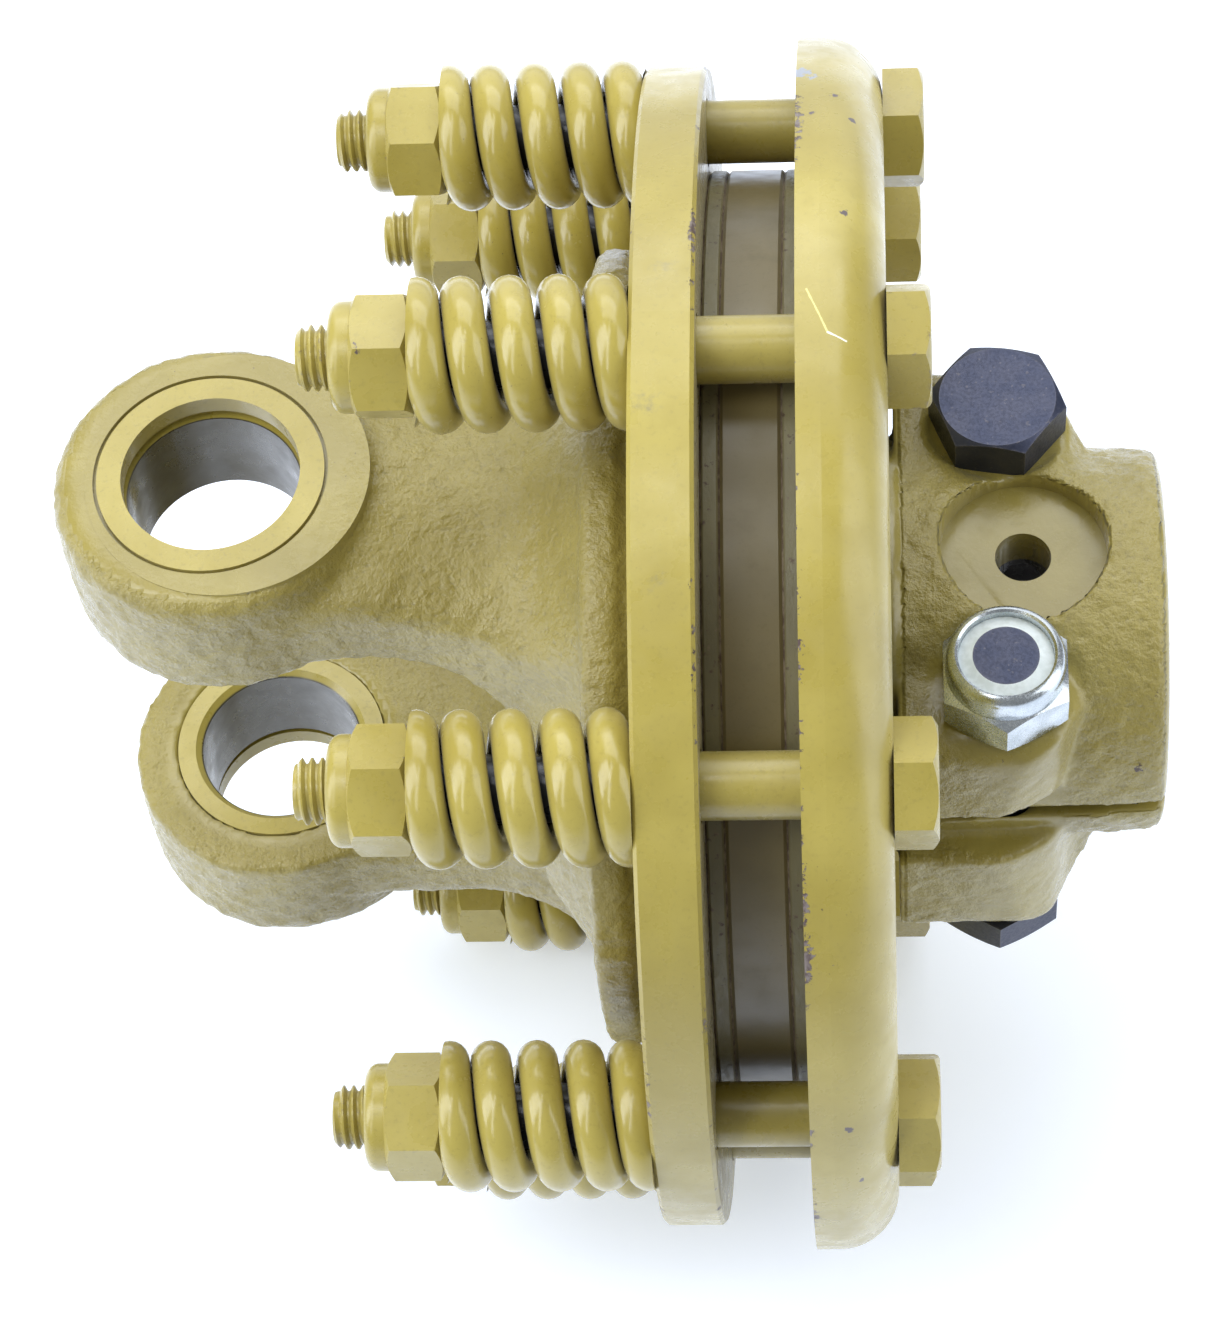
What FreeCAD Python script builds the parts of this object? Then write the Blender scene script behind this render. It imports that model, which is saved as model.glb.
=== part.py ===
"""Friction slip clutch for a farm driveline: a flange yoke at one end, a clamp hub at the other.

Units are millimetres. The main axis is X. The origin is on the main axis at the mouth of the
clamp hub's bore, so the clutch fills X <= 0. Z runs along the bores of the two yoke ears.
"""
import FreeCAD, Part
import math
import os

V = FreeCAD.Vector
X_AXIS = V(1, 0, 0)
Y_AXIS = V(0, 1, 0)
Z_AXIS = V(0, 0, 1)
OVERSHOOT = 2.0          # how far a cutting tool runs past the face it cuts

# ---------------------------------------------------------------- standard hardware
M10_SHANK = 10.0
M10_FLATS = 17.0
M10_HEAD_HEIGHT = 6.4
M10_NUT_HEIGHT = 12.0
M10_COLLAR_DIAMETER = 16.5
M12_SHANK = 12.0
M12_FLATS = 19.0
M12_HEAD_HEIGHT = 7.5
M12_NUT_HEIGHT = 12.0
M12_COLLAR_DIAMETER = 18.3
M10_COLLAR_SHARE = 0.24    # share of a locking nut's height that is its round collar
M12_COLLAR_SHARE = 0.34
NUT_COLLAR_ROUNDING = 1.8
LOCKING_NUT_CORNER_SHARE = 0.88  # radius of a nut's turned-down end, as a share of half its flats
HEAD_CORNER_SHARE = 0.97
BOLT_HOLE_CLEARANCE = 1.0  # diameter, bolts through the plates

# ---------------------------------------------------------------- axial stack, from the cup leftwards
CUP_RIGHT = -43.1
CUP_DEPTH = 13.1
CUP_SHEET = 6.0
PRESSURE_RING_THICKNESS = 6.69
LINING_THICKNESS = 2.95
DRIVE_PLATE_THICKNESS = 8.95
PLATE_THICKNESS = 9.6
FACE_GAP = 0.03           # between a lining and the face it rubs on
HEX_PLATE_CLEARANCE = 0.6

# ---------------------------------------------------------------- spring bolts and springs
SPRING_BOLT_COUNT = 8
BOLT_CIRCLE_RADIUS = 83.5
BOLT_STICK_OUT = 5.0       # thread that shows past the spring nuts
SPRING_LENGTH = 32.0
SPRING_WIRE_RADIUS = 3.15
SPRING_BOLT_CLEARANCE = 0.3  # radial, inside the coils
SPRING_TURNS = 5.5
SPRING_END_TURNS = 1.5     # closed up at each end
SPRING_END_GAP = 0.08      # between the closed coils
SPRING_GROUND_OFF = 2.5    # how far the wire's centre line runs past each ground face
SPRING_TIP_DEGREES = 211.0  # where the wire starts, from +Y towards +Z
NUT_CORNER_DEGREES = (28, 11, 56, 33, 52, 25, 1, 42)
HEAD_CORNER_DEGREES = (42, 12, 30, 55, 5, 20, 48, 27)

# ---------------------------------------------------------------- radii of the stack
PLATE_EDGE_MARGIN = 10.0   # plate material outside the bolt circle
CUP_EDGE_MARGIN = 14.0     # cup material outside the bolt circle
CUP_CORNER_RADIUS = 9.5
STACK_BOLT_GAP = 1.8       # between the bolts and the linings inside them
LINING_WIDTH = 29.7
PRESSURE_RING_WIDTH = 26.7
RIM_CHAMFER = 0.5          # outer edges of the linings and of the plate between them
CUP_HOLE_RADIUS = 36.0

# ---------------------------------------------------------------- flange yoke
EAR_AXIS_FROM_PLATE = 66.4
EAR_INNER_FACE = 29.9
EAR_THICKNESS = 23.6
EAR_WALL = 7.2             # casting round an ear bush
EAR_EDGE_RADIUS = 3.5
EAR_FACE_PROUD = 2.5       # ear faces above the arms' crown
CROWN_WAIST = 2.0          # how much the crown draws in before it flares to the flange
ARM_NECK_HALF_WIDTH = 21.3
ARM_FOOT_HALF_WIDTH = 34.0
ARM_EDGE_RADIUS = 4.0
NECK_START = 10.7          # from the ear's axis to where an arm leaves the ear
FLANGE_SPRING_GAP = 7.4    # between the springs and the yoke's flange
FLANGE_THICKNESS = 5.8
FLANGE_STEP = 2.5          # the step under the flange, smaller in radius
FLANGE_STEP_LENGTH = 3.2
THROAT_FLOOR_THICKNESS = 9.7
SPIGOT_RADIUS = 40.0
SPIGOT_LENGTH = 8.0
# each table: share of the way from the ears' axis to the flange, and a change of radius or width
ARM_NECK_TABLE = ((0.343, -0.3), (0.50, 0.0), (0.639, 1.3), (0.796, 4.7))
ARM_FOOT_TABLE = ((0.909, -4.0), (1.0, 0.0))
CROWN_TABLE = ((0.430, 0.0), (0.605, -0.9), (0.744, -1.0), (0.848, -0.3), (0.927, 1.8))
THROAT_TABLE = ((0.539, 0.0), (0.706, 0.0435), (0.864, 0.214), (0.962, 0.515))

# ---------------------------------------------------------------- ear bushes (27 mm cross caps)
CAP_RADIUS = 13.5
EAR_BUSH_WALL = 4.1
CAP_LIP_CLEARANCE = 0.35   # radial, where a cap slides past the outer lip
BUSH_LIP_DEPTH = 3.4
RING_GROOVE_DEPTH = 1.2
RING_GROOVE_WIDTH = 1.7
BUSH_CHAMFER = 1.1
EAR_BORE_CHAMFER = 0.7

# ---------------------------------------------------------------- clamp hub
NOSE_RADIUS = 24.0
HEX_FLATS = 56.0
HEX_FIT_CLEARANCE = 0.2   # across flats
BARREL_RADIUS = 33.0
LUG_CUP_GAP = 0.9
COLLAR_RADIUS = 31.2
COLLAR_EDGE_RADIUS = 2.2
SPLINE_MINOR_RADIUS = 14.83
SPLINE_MAJOR_RADIUS = 17.4
SPLINE_GROOVE_WIDTH = 8.69
SPLINE_COUNT = 6
SLOT_WIDTH = 3.0
SLOT_DROP = 1.5            # the slot's middle below the main axis
LUG_GAP = 14.0
LUG_BOLT_MARGIN = 13.0     # from a clamp bolt's axis to the lug's side
LUG_DRAFT = 2.0
LUG_EDGE_RADIUS = 5.5
LUG_SIDE_SHOULDER = ((-27.0, 0.0), (-21.0, 2.4), (-17.0, 5.6), (-15.0, 9.6), (-12.5, 13.0), (-9.0, 16.5))
LUG_TOP_SHOULDER = ((-18.0, 0.0), (-15.0, 1.5), (-12.5, 5.0), (-10.0, 9.0), (-7.0, 14.0))
UPPER_HEAD_SEAT = 27.4
LOWER_HEAD_SEAT = 34.4
NUT_SEAT = 24.4
UPPER_SEAT_SUNK = 1.6      # seats below the lugs' tops
LOWER_SEAT_SUNK = 0.2
CLAMP_BOLT_X = -25.7
CLAMP_BOLT_BORE_WALL = 0.1  # between the clamp bolts' holes and the splines' grooves
CLAMP_BOLT_RECESS = 0.8    # lower bolt's end below the top of its nut
SEAT_RADIUS = 11.4
UPPER_HEAD_TURN = 81.7     # direction of one flat of the upper bolt's head, from +X towards +Y
SPOT_FACE_X = -22.2
SPOT_FACE_Z = 25.4
SPOT_FACE_RADIUS = 13.1
SPOT_HOLE_RADIUS = 4.25

# ---------------------------------------------------------------- bearing bush under the hub's nose
NOSE_RUNNING_CLEARANCE = 0.05
BEARING_WALL = 3.0
BEARING_LENGTH = 16.3
BEARING_HEX_GAP = 2.5      # between the bush and the hub's hexagon
NOSE_SHORT_OF_BUSH = 0.5
BORE_PAST_BUSH = 0.7

# ---------------------------------------------------------------- derived sizes
CUP_INNER_FACE = CUP_RIGHT - CUP_SHEET
PRESSURE_RING_LEFT = CUP_INNER_FACE - PRESSURE_RING_THICKNESS
LINING_2_RIGHT = PRESSURE_RING_LEFT - FACE_GAP
DRIVE_PLATE_RIGHT = LINING_2_RIGHT - LINING_THICKNESS
DRIVE_PLATE_LEFT = DRIVE_PLATE_RIGHT - DRIVE_PLATE_THICKNESS
LINING_1_LEFT = DRIVE_PLATE_LEFT - LINING_THICKNESS
PLATE_RIGHT = LINING_1_LEFT - FACE_GAP
PLATE_LEFT = PLATE_RIGHT - PLATE_THICKNESS
HEX_LEFT = PLATE_RIGHT + HEX_PLATE_CLEARANCE
HEX_RIGHT = LINING_2_RIGHT
PLATE_RADIUS = BOLT_CIRCLE_RADIUS + PLATE_EDGE_MARGIN
CUP_RADIUS = BOLT_CIRCLE_RADIUS + CUP_EDGE_MARGIN
STACK_RADIUS = BOLT_CIRCLE_RADIUS - M10_SHANK / 2 - STACK_BOLT_GAP
LINING_INNER_RADIUS = STACK_RADIUS - LINING_WIDTH
PRESSURE_RING_INNER_RADIUS = STACK_RADIUS - PRESSURE_RING_WIDTH
SPRING_OUTER_RADIUS = M10_SHANK / 2 + SPRING_BOLT_CLEARANCE + 2 * SPRING_WIRE_RADIUS
SPRING_END_PITCH = 2 * SPRING_WIRE_RADIUS + SPRING_END_GAP
SPRING_BOLT_LENGTH = CUP_RIGHT - PLATE_LEFT + SPRING_LENGTH + M10_NUT_HEIGHT + BOLT_STICK_OUT
FLANGE_RADIUS = BOLT_CIRCLE_RADIUS - SPRING_OUTER_RADIUS - FLANGE_SPRING_GAP
FLANGE_STEP_RADIUS = FLANGE_RADIUS - FLANGE_STEP
FLANGE_RIGHT = PLATE_LEFT - FLANGE_STEP_LENGTH
FLANGE_LEFT = FLANGE_RIGHT - FLANGE_THICKNESS
THROAT_FLOOR_X = FLANGE_LEFT - THROAT_FLOOR_THICKNESS
EAR_AXIS_X = PLATE_LEFT - EAR_AXIS_FROM_PLATE
EAR_OUTER_FACE = EAR_INNER_FACE + EAR_THICKNESS
EAR_BUSH_OUTER_RADIUS = CAP_RADIUS + EAR_BUSH_WALL
EAR_RADIUS = EAR_BUSH_OUTER_RADIUS + EAR_WALL
CROWN_RADIUS = EAR_OUTER_FACE - EAR_FACE_PROUD
BUSH_LIP_RADIUS = CAP_RADIUS + CAP_LIP_CLEARANCE
RING_GROOVE_RADIUS = CAP_RADIUS + RING_GROOVE_DEPTH
BEARING_RIGHT_X = HEX_LEFT - BEARING_HEX_GAP
BEARING_LEFT_X = BEARING_RIGHT_X - BEARING_LENGTH
NOSE_END_X = BEARING_LEFT_X + NOSE_SHORT_OF_BUSH
NOSE_BORE_END_X = BEARING_LEFT_X - BORE_PAST_BUSH
BEARING_OUTER_RADIUS = NOSE_RADIUS + NOSE_RUNNING_CLEARANCE + BEARING_WALL
LUG_LEFT_X = CUP_RIGHT + LUG_CUP_GAP
CLAMP_HOLE_RADIUS = (M12_SHANK + BOLT_HOLE_CLEARANCE) / 2
CLAMP_BOLT_Y = SPLINE_MAJOR_RADIUS + CLAMP_HOLE_RADIUS + CLAMP_BOLT_BORE_WALL
CLAMP_BOLT_LENGTH = LOWER_HEAD_SEAT + NUT_SEAT + M12_NUT_HEIGHT - CLAMP_BOLT_RECESS
LUG_HALF_WIDTH = CLAMP_BOLT_Y + LUG_BOLT_MARGIN
UPPER_HEAD_LUG_TOP = UPPER_HEAD_SEAT + UPPER_SEAT_SUNK
LOWER_HEAD_LUG_TOP = LOWER_HEAD_SEAT + LOWER_SEAT_SUNK
PLATE_BOLT_HOLE_RADIUS = (M10_SHANK + BOLT_HOLE_CLEARANCE) / 2


def cylinder_x(radius, left, right):
    """Solid cylinder on the main axis between two X positions."""
    return Part.makeCylinder(radius, right - left, V(left, 0, 0), X_AXIS)


def ring_x(outer_radius, inner_radius, left, right):
    """Flat ring on the main axis."""
    bore = cylinder_x(inner_radius, left - OVERSHOOT, right + OVERSHOOT)
    return cylinder_x(outer_radius, left, right).cut(bore)


def hexagon_prism(across_flats, base, direction, height, flat_towards):
    """Hexagonal prism; one flat faces the direction flat_towards."""
    corner_radius = across_flats / math.sqrt(3)
    side = direction.cross(flat_towards)
    points = []
    for index in range(7):
        angle = math.radians(30 + 60 * index)
        offset = flat_towards * math.cos(angle) + side * math.sin(angle)
        points.append(base + offset * corner_radius)
    return Part.Face(Part.makePolygon(points)).extrude(direction * height)


def corner_cone(across_flats, base, direction, height, share):
    """Round body that turns down the corners of a hexagon at its outer end."""
    wide_radius = across_flats / math.sqrt(3) + 1
    end_radius = share * across_flats / 2
    cone_height = (wide_radius - end_radius) * math.tan(math.radians(30))
    lower = Part.makeCylinder(wide_radius, height - cone_height, base, direction)
    cone_base = base + direction * (height - cone_height)
    upper = Part.makeCone(wide_radius, end_radius, cone_height, cone_base, direction)
    return lower.fuse(upper)


def hexagon_bolt(shank_diameter, across_flats, head_height, shank_length, seat, direction, flat_towards):
    """Hexagon-head bolt: direction points from the head's seat out of the top of the head."""
    head = hexagon_prism(across_flats, seat, direction, head_height, flat_towards)
    head = head.common(corner_cone(across_flats, seat, direction, head_height, HEAD_CORNER_SHARE))
    tip = seat - direction * shank_length
    end_chamfer = 0.9
    shank = Part.makeCylinder(shank_diameter / 2, shank_length - end_chamfer,
                              tip + direction * end_chamfer, direction)
    point = Part.makeCone(shank_diameter / 2 - end_chamfer, shank_diameter / 2, end_chamfer, tip, direction)
    return head.fuse(shank).fuse(point).removeSplitter()


def locking_nut(across_flats, height, collar_diameter, collar_height, seat, direction, flat_towards):
    """Hexagon nut, not yet bored, with a round locking collar at the end that direction points to."""
    hexagon_height = height - collar_height
    top = seat + direction * hexagon_height
    outer_end = corner_cone(across_flats, seat, direction, hexagon_height, LOCKING_NUT_CORNER_SHARE)
    seat_end = corner_cone(across_flats, top, direction * -1, hexagon_height, HEAD_CORNER_SHARE)
    hexagon = hexagon_prism(across_flats, seat, direction, hexagon_height, flat_towards)
    hexagon = hexagon.common(outer_end).common(seat_end)
    collar = Part.makeCylinder(collar_diameter / 2, collar_height + 1, top - direction, direction)
    rim = max(collar.Edges, key=lambda edge: edge.CenterOfMass.dot(direction))
    return hexagon.fuse(collar.makeFillet(NUT_COLLAR_ROUNDING, [rim]))


def bored(nut, hole_diameter, height, seat, direction):
    """The nut with its bolt's hole through it."""
    start = seat - direction * OVERSHOOT
    hole = Part.makeCylinder(hole_diameter / 2, height + 2 * OVERSHOOT, start, direction)
    return nut.cut(hole).removeSplitter()


def bolt_angles():
    """Angles of the spring bolts about the main axis, from +Z towards -Y."""
    return [360.0 * index / SPRING_BOLT_COUNT for index in range(SPRING_BOLT_COUNT)]


def on_bolt_circle(angle, x):
    """Point on the bolt circle at an angle and an X position."""
    turn = math.radians(angle)
    return V(x, -BOLT_CIRCLE_RADIUS * math.sin(turn), BOLT_CIRCLE_RADIUS * math.cos(turn))


def flat_direction(corner_degrees):
    """Direction of a hexagon's flat, from the angle of its next corner about X, +Z towards -Y."""
    turn = math.radians(corner_degrees + 30)
    return V(0, -math.sin(turn), math.cos(turn))


def bolt_hole_tools(left, right):
    """Cylinders that drill the spring-bolt holes between two X positions."""
    length = right - left + 2 * OVERSHOOT
    starts = [on_bolt_circle(angle, left - OVERSHOOT) for angle in bolt_angles()]
    return [Part.makeCylinder(PLATE_BOLT_HOLE_RADIUS, length, start, X_AXIS) for start in starts]


def circle_edges_at(shape, x, radius):
    """Edges of full circles on the main axis at one X position and radius."""
    found = []
    for edge in shape.Edges:
        round_edge = hasattr(edge.Curve, "Radius") and abs(edge.Curve.Radius - radius) < 0.05
        if round_edge and abs(edge.CenterOfMass.x - x) < 0.05:
            found.append(edge)
    return found


def make_yoke_plate():
    """Plate that the springs press on, with the pressed-in seat for the yoke's spigot."""
    plate = ring_x(PLATE_RADIUS, SPIGOT_RADIUS, PLATE_LEFT, PLATE_RIGHT)
    rims = circle_edges_at(plate, PLATE_LEFT, PLATE_RADIUS)
    rims += circle_edges_at(plate, PLATE_RIGHT, PLATE_RADIUS)
    plate = plate.makeChamfer(0.6, rims)
    for tool in bolt_hole_tools(PLATE_LEFT, PLATE_RIGHT):
        plate = plate.cut(tool)
    return plate


def make_pressure_cup():
    """Pressed dish that the bolt heads pull against the friction stack."""
    lip = CUP_RIGHT - CUP_DEPTH
    cup = cylinder_x(CUP_RADIUS, lip, CUP_RIGHT)
    cup = cup.makeFillet(CUP_CORNER_RADIUS, circle_edges_at(cup, CUP_RIGHT, CUP_RADIUS))
    cavity_radius = CUP_RADIUS - CUP_SHEET
    cavity = cylinder_x(cavity_radius, lip - OVERSHOOT, CUP_INNER_FACE)
    inner_corner = CUP_CORNER_RADIUS - CUP_SHEET
    cavity = cavity.makeFillet(inner_corner, circle_edges_at(cavity, CUP_INNER_FACE, cavity_radius))
    cup = cup.cut(cavity)
    cup = cup.cut(cylinder_x(CUP_HOLE_RADIUS, lip, CUP_RIGHT + OVERSHOOT))
    for tool in bolt_hole_tools(CUP_INNER_FACE, CUP_RIGHT):
        cup = cup.cut(tool)
    return cup


def chamfered_rim(disc, left, right):
    """The disc with its outer edges at two X positions chamfered."""
    rim = circle_edges_at(disc, left, STACK_RADIUS) + circle_edges_at(disc, right, STACK_RADIUS)
    return disc.makeChamfer(RIM_CHAMFER, rim)


def make_lining(left, right):
    """Friction lining between two X positions."""
    return chamfered_rim(ring_x(STACK_RADIUS, LINING_INNER_RADIUS, left, right), left, right)


def make_drive_plate():
    """Plate between the linings, driven by the hub's hexagon."""
    plate = cylinder_x(STACK_RADIUS, DRIVE_PLATE_LEFT, DRIVE_PLATE_RIGHT)
    plate = chamfered_rim(plate, DRIVE_PLATE_LEFT, DRIVE_PLATE_RIGHT)
    length = DRIVE_PLATE_THICKNESS + 2 * OVERSHOOT
    socket = hexagon_prism(HEX_FLATS + HEX_FIT_CLEARANCE, V(DRIVE_PLATE_LEFT - OVERSHOOT, 0, 0),
                           X_AXIS, length, Z_AXIS)
    return plate.cut(socket)


def spring_centre_line():
    """Points on a spring's wire centre line about the X axis, closed up at both ends."""
    coil_radius = SPRING_OUTER_RADIUS - SPRING_WIRE_RADIUS
    open_turns = SPRING_TURNS - 2 * SPRING_END_TURNS
    ends = 2 * SPRING_END_TURNS * SPRING_END_PITCH
    open_pitch = (SPRING_LENGTH + 2 * SPRING_GROUND_OFF - ends) / open_turns
    points = []
    for step in range(int(SPRING_TURNS * 16) + 1):
        turn = step / 16
        opened = min(max(turn - SPRING_END_TURNS, 0), open_turns)
        axial = -SPRING_GROUND_OFF + opened * open_pitch + (turn - opened) * SPRING_END_PITCH
        angle = math.radians(SPRING_TIP_DEGREES + 360 * turn)
        points.append(V(axial, coil_radius * math.cos(angle), coil_radius * math.sin(angle)))
    return points


def make_spring():
    """Compression spring along X, from 0 to the spring's length, right-hand, ground at both ends."""
    points = spring_centre_line()
    curve = Part.BSplineCurve()
    curve.interpolate(points)
    start, tangent = points[0], curve.tangent(curve.FirstParameter)[0]
    profile = Part.Wire([Part.makeCircle(SPRING_WIRE_RADIUS, start, tangent)])
    wire = Part.Wire([curve.toShape()]).makePipeShell([profile], True, True)
    return wire.common(cylinder_x(SPRING_OUTER_RADIUS + OVERSHOOT, 0, SPRING_LENGTH))


def along_arm(share, end):
    """X position at a share of the way from the ears' axis to another X position."""
    return EAR_AXIS_X + share * (end - EAR_AXIS_X)


def throat_tool():
    """Solid that clears the space between the ears, down to the rounded throat floor."""
    far_end = EAR_AXIS_X - EAR_RADIUS - OVERSHOOT
    throat = [V(along_arm(share, THROAT_FLOOR_X), 0, EAR_INNER_FACE * (1 - drop))
              for share, drop in THROAT_TABLE]
    throat.append(V(THROAT_FLOOR_X, 0, 0))
    floor = Part.BSplineCurve()
    floor.interpolate(throat + [V(point.x, 0, -point.z) for point in reversed(throat[:-1])])
    edges = [
        floor.toShape(),
        Part.makeLine(throat[0], V(far_end, 0, EAR_INNER_FACE)),
        Part.makeLine(V(far_end, 0, EAR_INNER_FACE), V(far_end, 0, -EAR_INNER_FACE)),
        Part.makeLine(V(far_end, 0, -EAR_INNER_FACE), V(throat[0].x, 0, -EAR_INNER_FACE)),
    ]
    tool = Part.Face(Part.Wire(Part.__sortEdges__(edges))).extrude(V(0, 2 * FLANGE_RADIUS, 0))
    tool.translate(V(0, -FLANGE_RADIUS, 0))
    return tool


def arm_crown():
    """Body of revolution that shapes the arms' outer faces and flares into the flange."""
    far_end = EAR_AXIS_X - EAR_RADIUS - OVERSHOOT
    flare = [V(along_arm(share, FLANGE_LEFT), 0, CROWN_RADIUS + change * CROWN_WAIST)
             for share, change in CROWN_TABLE]
    flare.append(V(FLANGE_LEFT, 0, FLANGE_RADIUS - 4.5))
    curve = Part.BSplineCurve()
    curve.interpolate(flare)
    edges = [
        Part.makeLine(V(far_end, 0, 0), V(far_end, 0, CROWN_RADIUS)),
        Part.makeLine(V(far_end, 0, CROWN_RADIUS), flare[0]),
        curve.toShape(),
        Part.makeLine(flare[-1], V(FLANGE_LEFT, 0, 0)),
        Part.makeLine(V(FLANGE_LEFT, 0, 0), V(far_end, 0, 0)),
    ]
    return Part.Face(Part.Wire(Part.__sortEdges__(edges))).revolve(V(0, 0, 0), X_AXIS, 360)


def arm_top_outline(depth):
    """Solid whose outline, seen along Z, is the ears, the arms' necks and the flared foot."""
    tangent_x = EAR_AXIS_X + NECK_START
    tangent_y = math.sqrt(EAR_RADIUS ** 2 - NECK_START ** 2)
    side = [V(tangent_x, tangent_y, 0)]
    for width, table in ((ARM_NECK_HALF_WIDTH, ARM_NECK_TABLE), (ARM_FOOT_HALF_WIDTH, ARM_FOOT_TABLE)):
        side.extend(V(along_arm(share, FLANGE_LEFT), width + change, 0) for share, change in table)
    upper = Part.BSplineCurve()
    upper.interpolate(side)
    lower = Part.BSplineCurve()
    lower.interpolate([V(point.x, -point.y, 0) for point in side])
    ear = Part.Arc(side[0], V(EAR_AXIS_X - EAR_RADIUS, 0, 0), V(tangent_x, -tangent_y, 0))
    base = Part.makeLine(side[-1], V(side[-1].x, -side[-1].y, 0))
    wire = Part.Wire(Part.__sortEdges__([upper.toShape(), ear.toShape(), lower.toShape(), base]))
    outline = Part.Face(wire).extrude(V(0, 0, 2 * depth))
    outline.translate(V(0, 0, -depth))
    return outline


def make_flange_yoke():
    """Forged yoke: two ears on arms that flare into a round flange with a spigot."""
    arms = arm_top_outline(FLANGE_RADIUS).common(arm_crown()).cut(throat_tool())
    crown_edges = [edge for edge in arms.Edges
                   if edge.BoundBox.XMax < FLANGE_LEFT - 0.01 or edge.BoundBox.XLength > 1.0]
    yoke = arms.makeFillet(ARM_EDGE_RADIUS, crown_edges)
    for side in (1, -1):
        boss = Part.makeCylinder(EAR_RADIUS, EAR_OUTER_FACE - EAR_INNER_FACE,
                                 V(EAR_AXIS_X, 0, side * EAR_INNER_FACE), Z_AXIS * side)
        rim = max(boss.Edges, key=lambda edge: edge.CenterOfMass.z * side)
        yoke = yoke.fuse(boss.makeFillet(EAR_EDGE_RADIUS, [rim]))
    flange = cylinder_x(FLANGE_RADIUS, FLANGE_LEFT, FLANGE_RIGHT)
    flange = flange.makeFillet(1.6, circle_edges_at(flange, FLANGE_LEFT, FLANGE_RADIUS))
    dome = Part.makeCone(38.0, 52.0, FLANGE_LEFT - THROAT_FLOOR_X, V(THROAT_FLOOR_X, 0, 0), X_AXIS)
    yoke = yoke.fuse(flange).fuse(dome)
    yoke = yoke.fuse(cylinder_x(FLANGE_STEP_RADIUS, FLANGE_RIGHT, PLATE_LEFT))
    spigot_right = PLATE_LEFT + SPIGOT_LENGTH
    yoke = yoke.fuse(cylinder_x(SPIGOT_RADIUS, PLATE_LEFT, spigot_right))
    yoke = yoke.cut(cylinder_x(BEARING_OUTER_RADIUS, NOSE_BORE_END_X, spigot_right + OVERSHOOT))
    half_span = EAR_OUTER_FACE + OVERSHOOT
    bore_start = V(EAR_AXIS_X, 0, -half_span)
    yoke = yoke.cut(Part.makeCylinder(EAR_BUSH_OUTER_RADIUS, 2 * half_span, bore_start, Z_AXIS))
    for side in (1, -1):
        chamfer = Part.makeCone(EAR_BUSH_OUTER_RADIUS, EAR_BUSH_OUTER_RADIUS + EAR_BORE_CHAMFER + 0.5,
                                EAR_BORE_CHAMFER + 0.5,
                                V(EAR_AXIS_X, 0, side * (EAR_OUTER_FACE - EAR_BORE_CHAMFER)), Z_AXIS * side)
        yoke = yoke.cut(chamfer)
    return yoke.removeSplitter()


def make_ear_bush(side):
    """Bush pressed in an ear, with the lip and groove that hold a cross cap's snap ring."""
    direction = Z_AXIS * side
    inner = V(EAR_AXIS_X, 0, side * EAR_INNER_FACE)
    length = EAR_OUTER_FACE - EAR_INNER_FACE
    bush = Part.makeCylinder(EAR_BUSH_OUTER_RADIUS, length, inner, direction)
    bore_start = inner - direction * OVERSHOOT
    bush = bush.cut(Part.makeCylinder(CAP_RADIUS, length + 2 * OVERSHOOT, bore_start, direction))
    lip = Part.makeCylinder(BUSH_LIP_RADIUS, BUSH_LIP_DEPTH + OVERSHOOT,
                            inner + direction * (length - BUSH_LIP_DEPTH), direction)
    groove = Part.makeCylinder(RING_GROOVE_RADIUS, RING_GROOVE_WIDTH,
                               inner + direction * (length - BUSH_LIP_DEPTH - RING_GROOVE_WIDTH), direction)
    mouth = Part.makeCone(CAP_RADIUS + BUSH_CHAMFER, CAP_RADIUS, BUSH_CHAMFER, inner, direction)
    return bush.cut(lip).cut(groove).cut(mouth)


def shoulder_face(shoulder, height, upright):
    """Flat outline of a lug from the cup side to its drawn-down end, in the XY or the XZ plane."""
    points = [V(x, height - drop, 0) for x, drop in shoulder]
    curve = Part.BSplineCurve()
    curve.interpolate(points)
    left_top, left_low = V(LUG_LEFT_X, height, 0), V(LUG_LEFT_X, 0, 0)
    right_low = V(points[-1].x, 0, 0)
    wire = Part.Wire(Part.__sortEdges__([
        Part.makeLine(left_low, left_top), Part.makeLine(left_top, points[0]), curve.toShape(),
        Part.makeLine(points[-1], right_low), Part.makeLine(right_low, left_low)]))
    face = Part.Face(wire)
    if upright:
        face.rotate(V(0, 0, 0), X_AXIS, 90)
    return face


def make_lug(y_side, z_side, top):
    """One of the four clamp lugs: drafted, rounded, and drawn down to the collar at its outer end."""
    low = LUG_GAP / 2
    plan = shoulder_face(LUG_SIDE_SHOULDER, LUG_HALF_WIDTH, False).extrude(V(0, 0, top + 1))
    side = shoulder_face(LUG_TOP_SHOULDER, top, True).extrude(V(0, LUG_HALF_WIDTH + 1, 0))
    section = Part.Face(Part.makePolygon([
        V(LUG_LEFT_X, 6, low), V(LUG_LEFT_X, LUG_HALF_WIDTH, low),
        V(LUG_LEFT_X, LUG_HALF_WIDTH - LUG_DRAFT, top), V(LUG_LEFT_X, 6, top), V(LUG_LEFT_X, 6, low)]))
    lug = section.extrude(V(-LUG_LEFT_X, 0, 0))
    long_edge = [edge for edge in lug.Edges
                 if edge.BoundBox.XLength > 5 and edge.BoundBox.YMin > 20 and edge.BoundBox.ZMin > top - 1]
    lug = lug.makeFillet(LUG_EDGE_RADIUS, long_edge).common(plan).common(side)
    if y_side < 0:
        lug = lug.mirror(V(0, 0, 0), Y_AXIS)
    if z_side < 0:
        lug = lug.mirror(V(0, 0, 0), Z_AXIS)
    return lug


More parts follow.
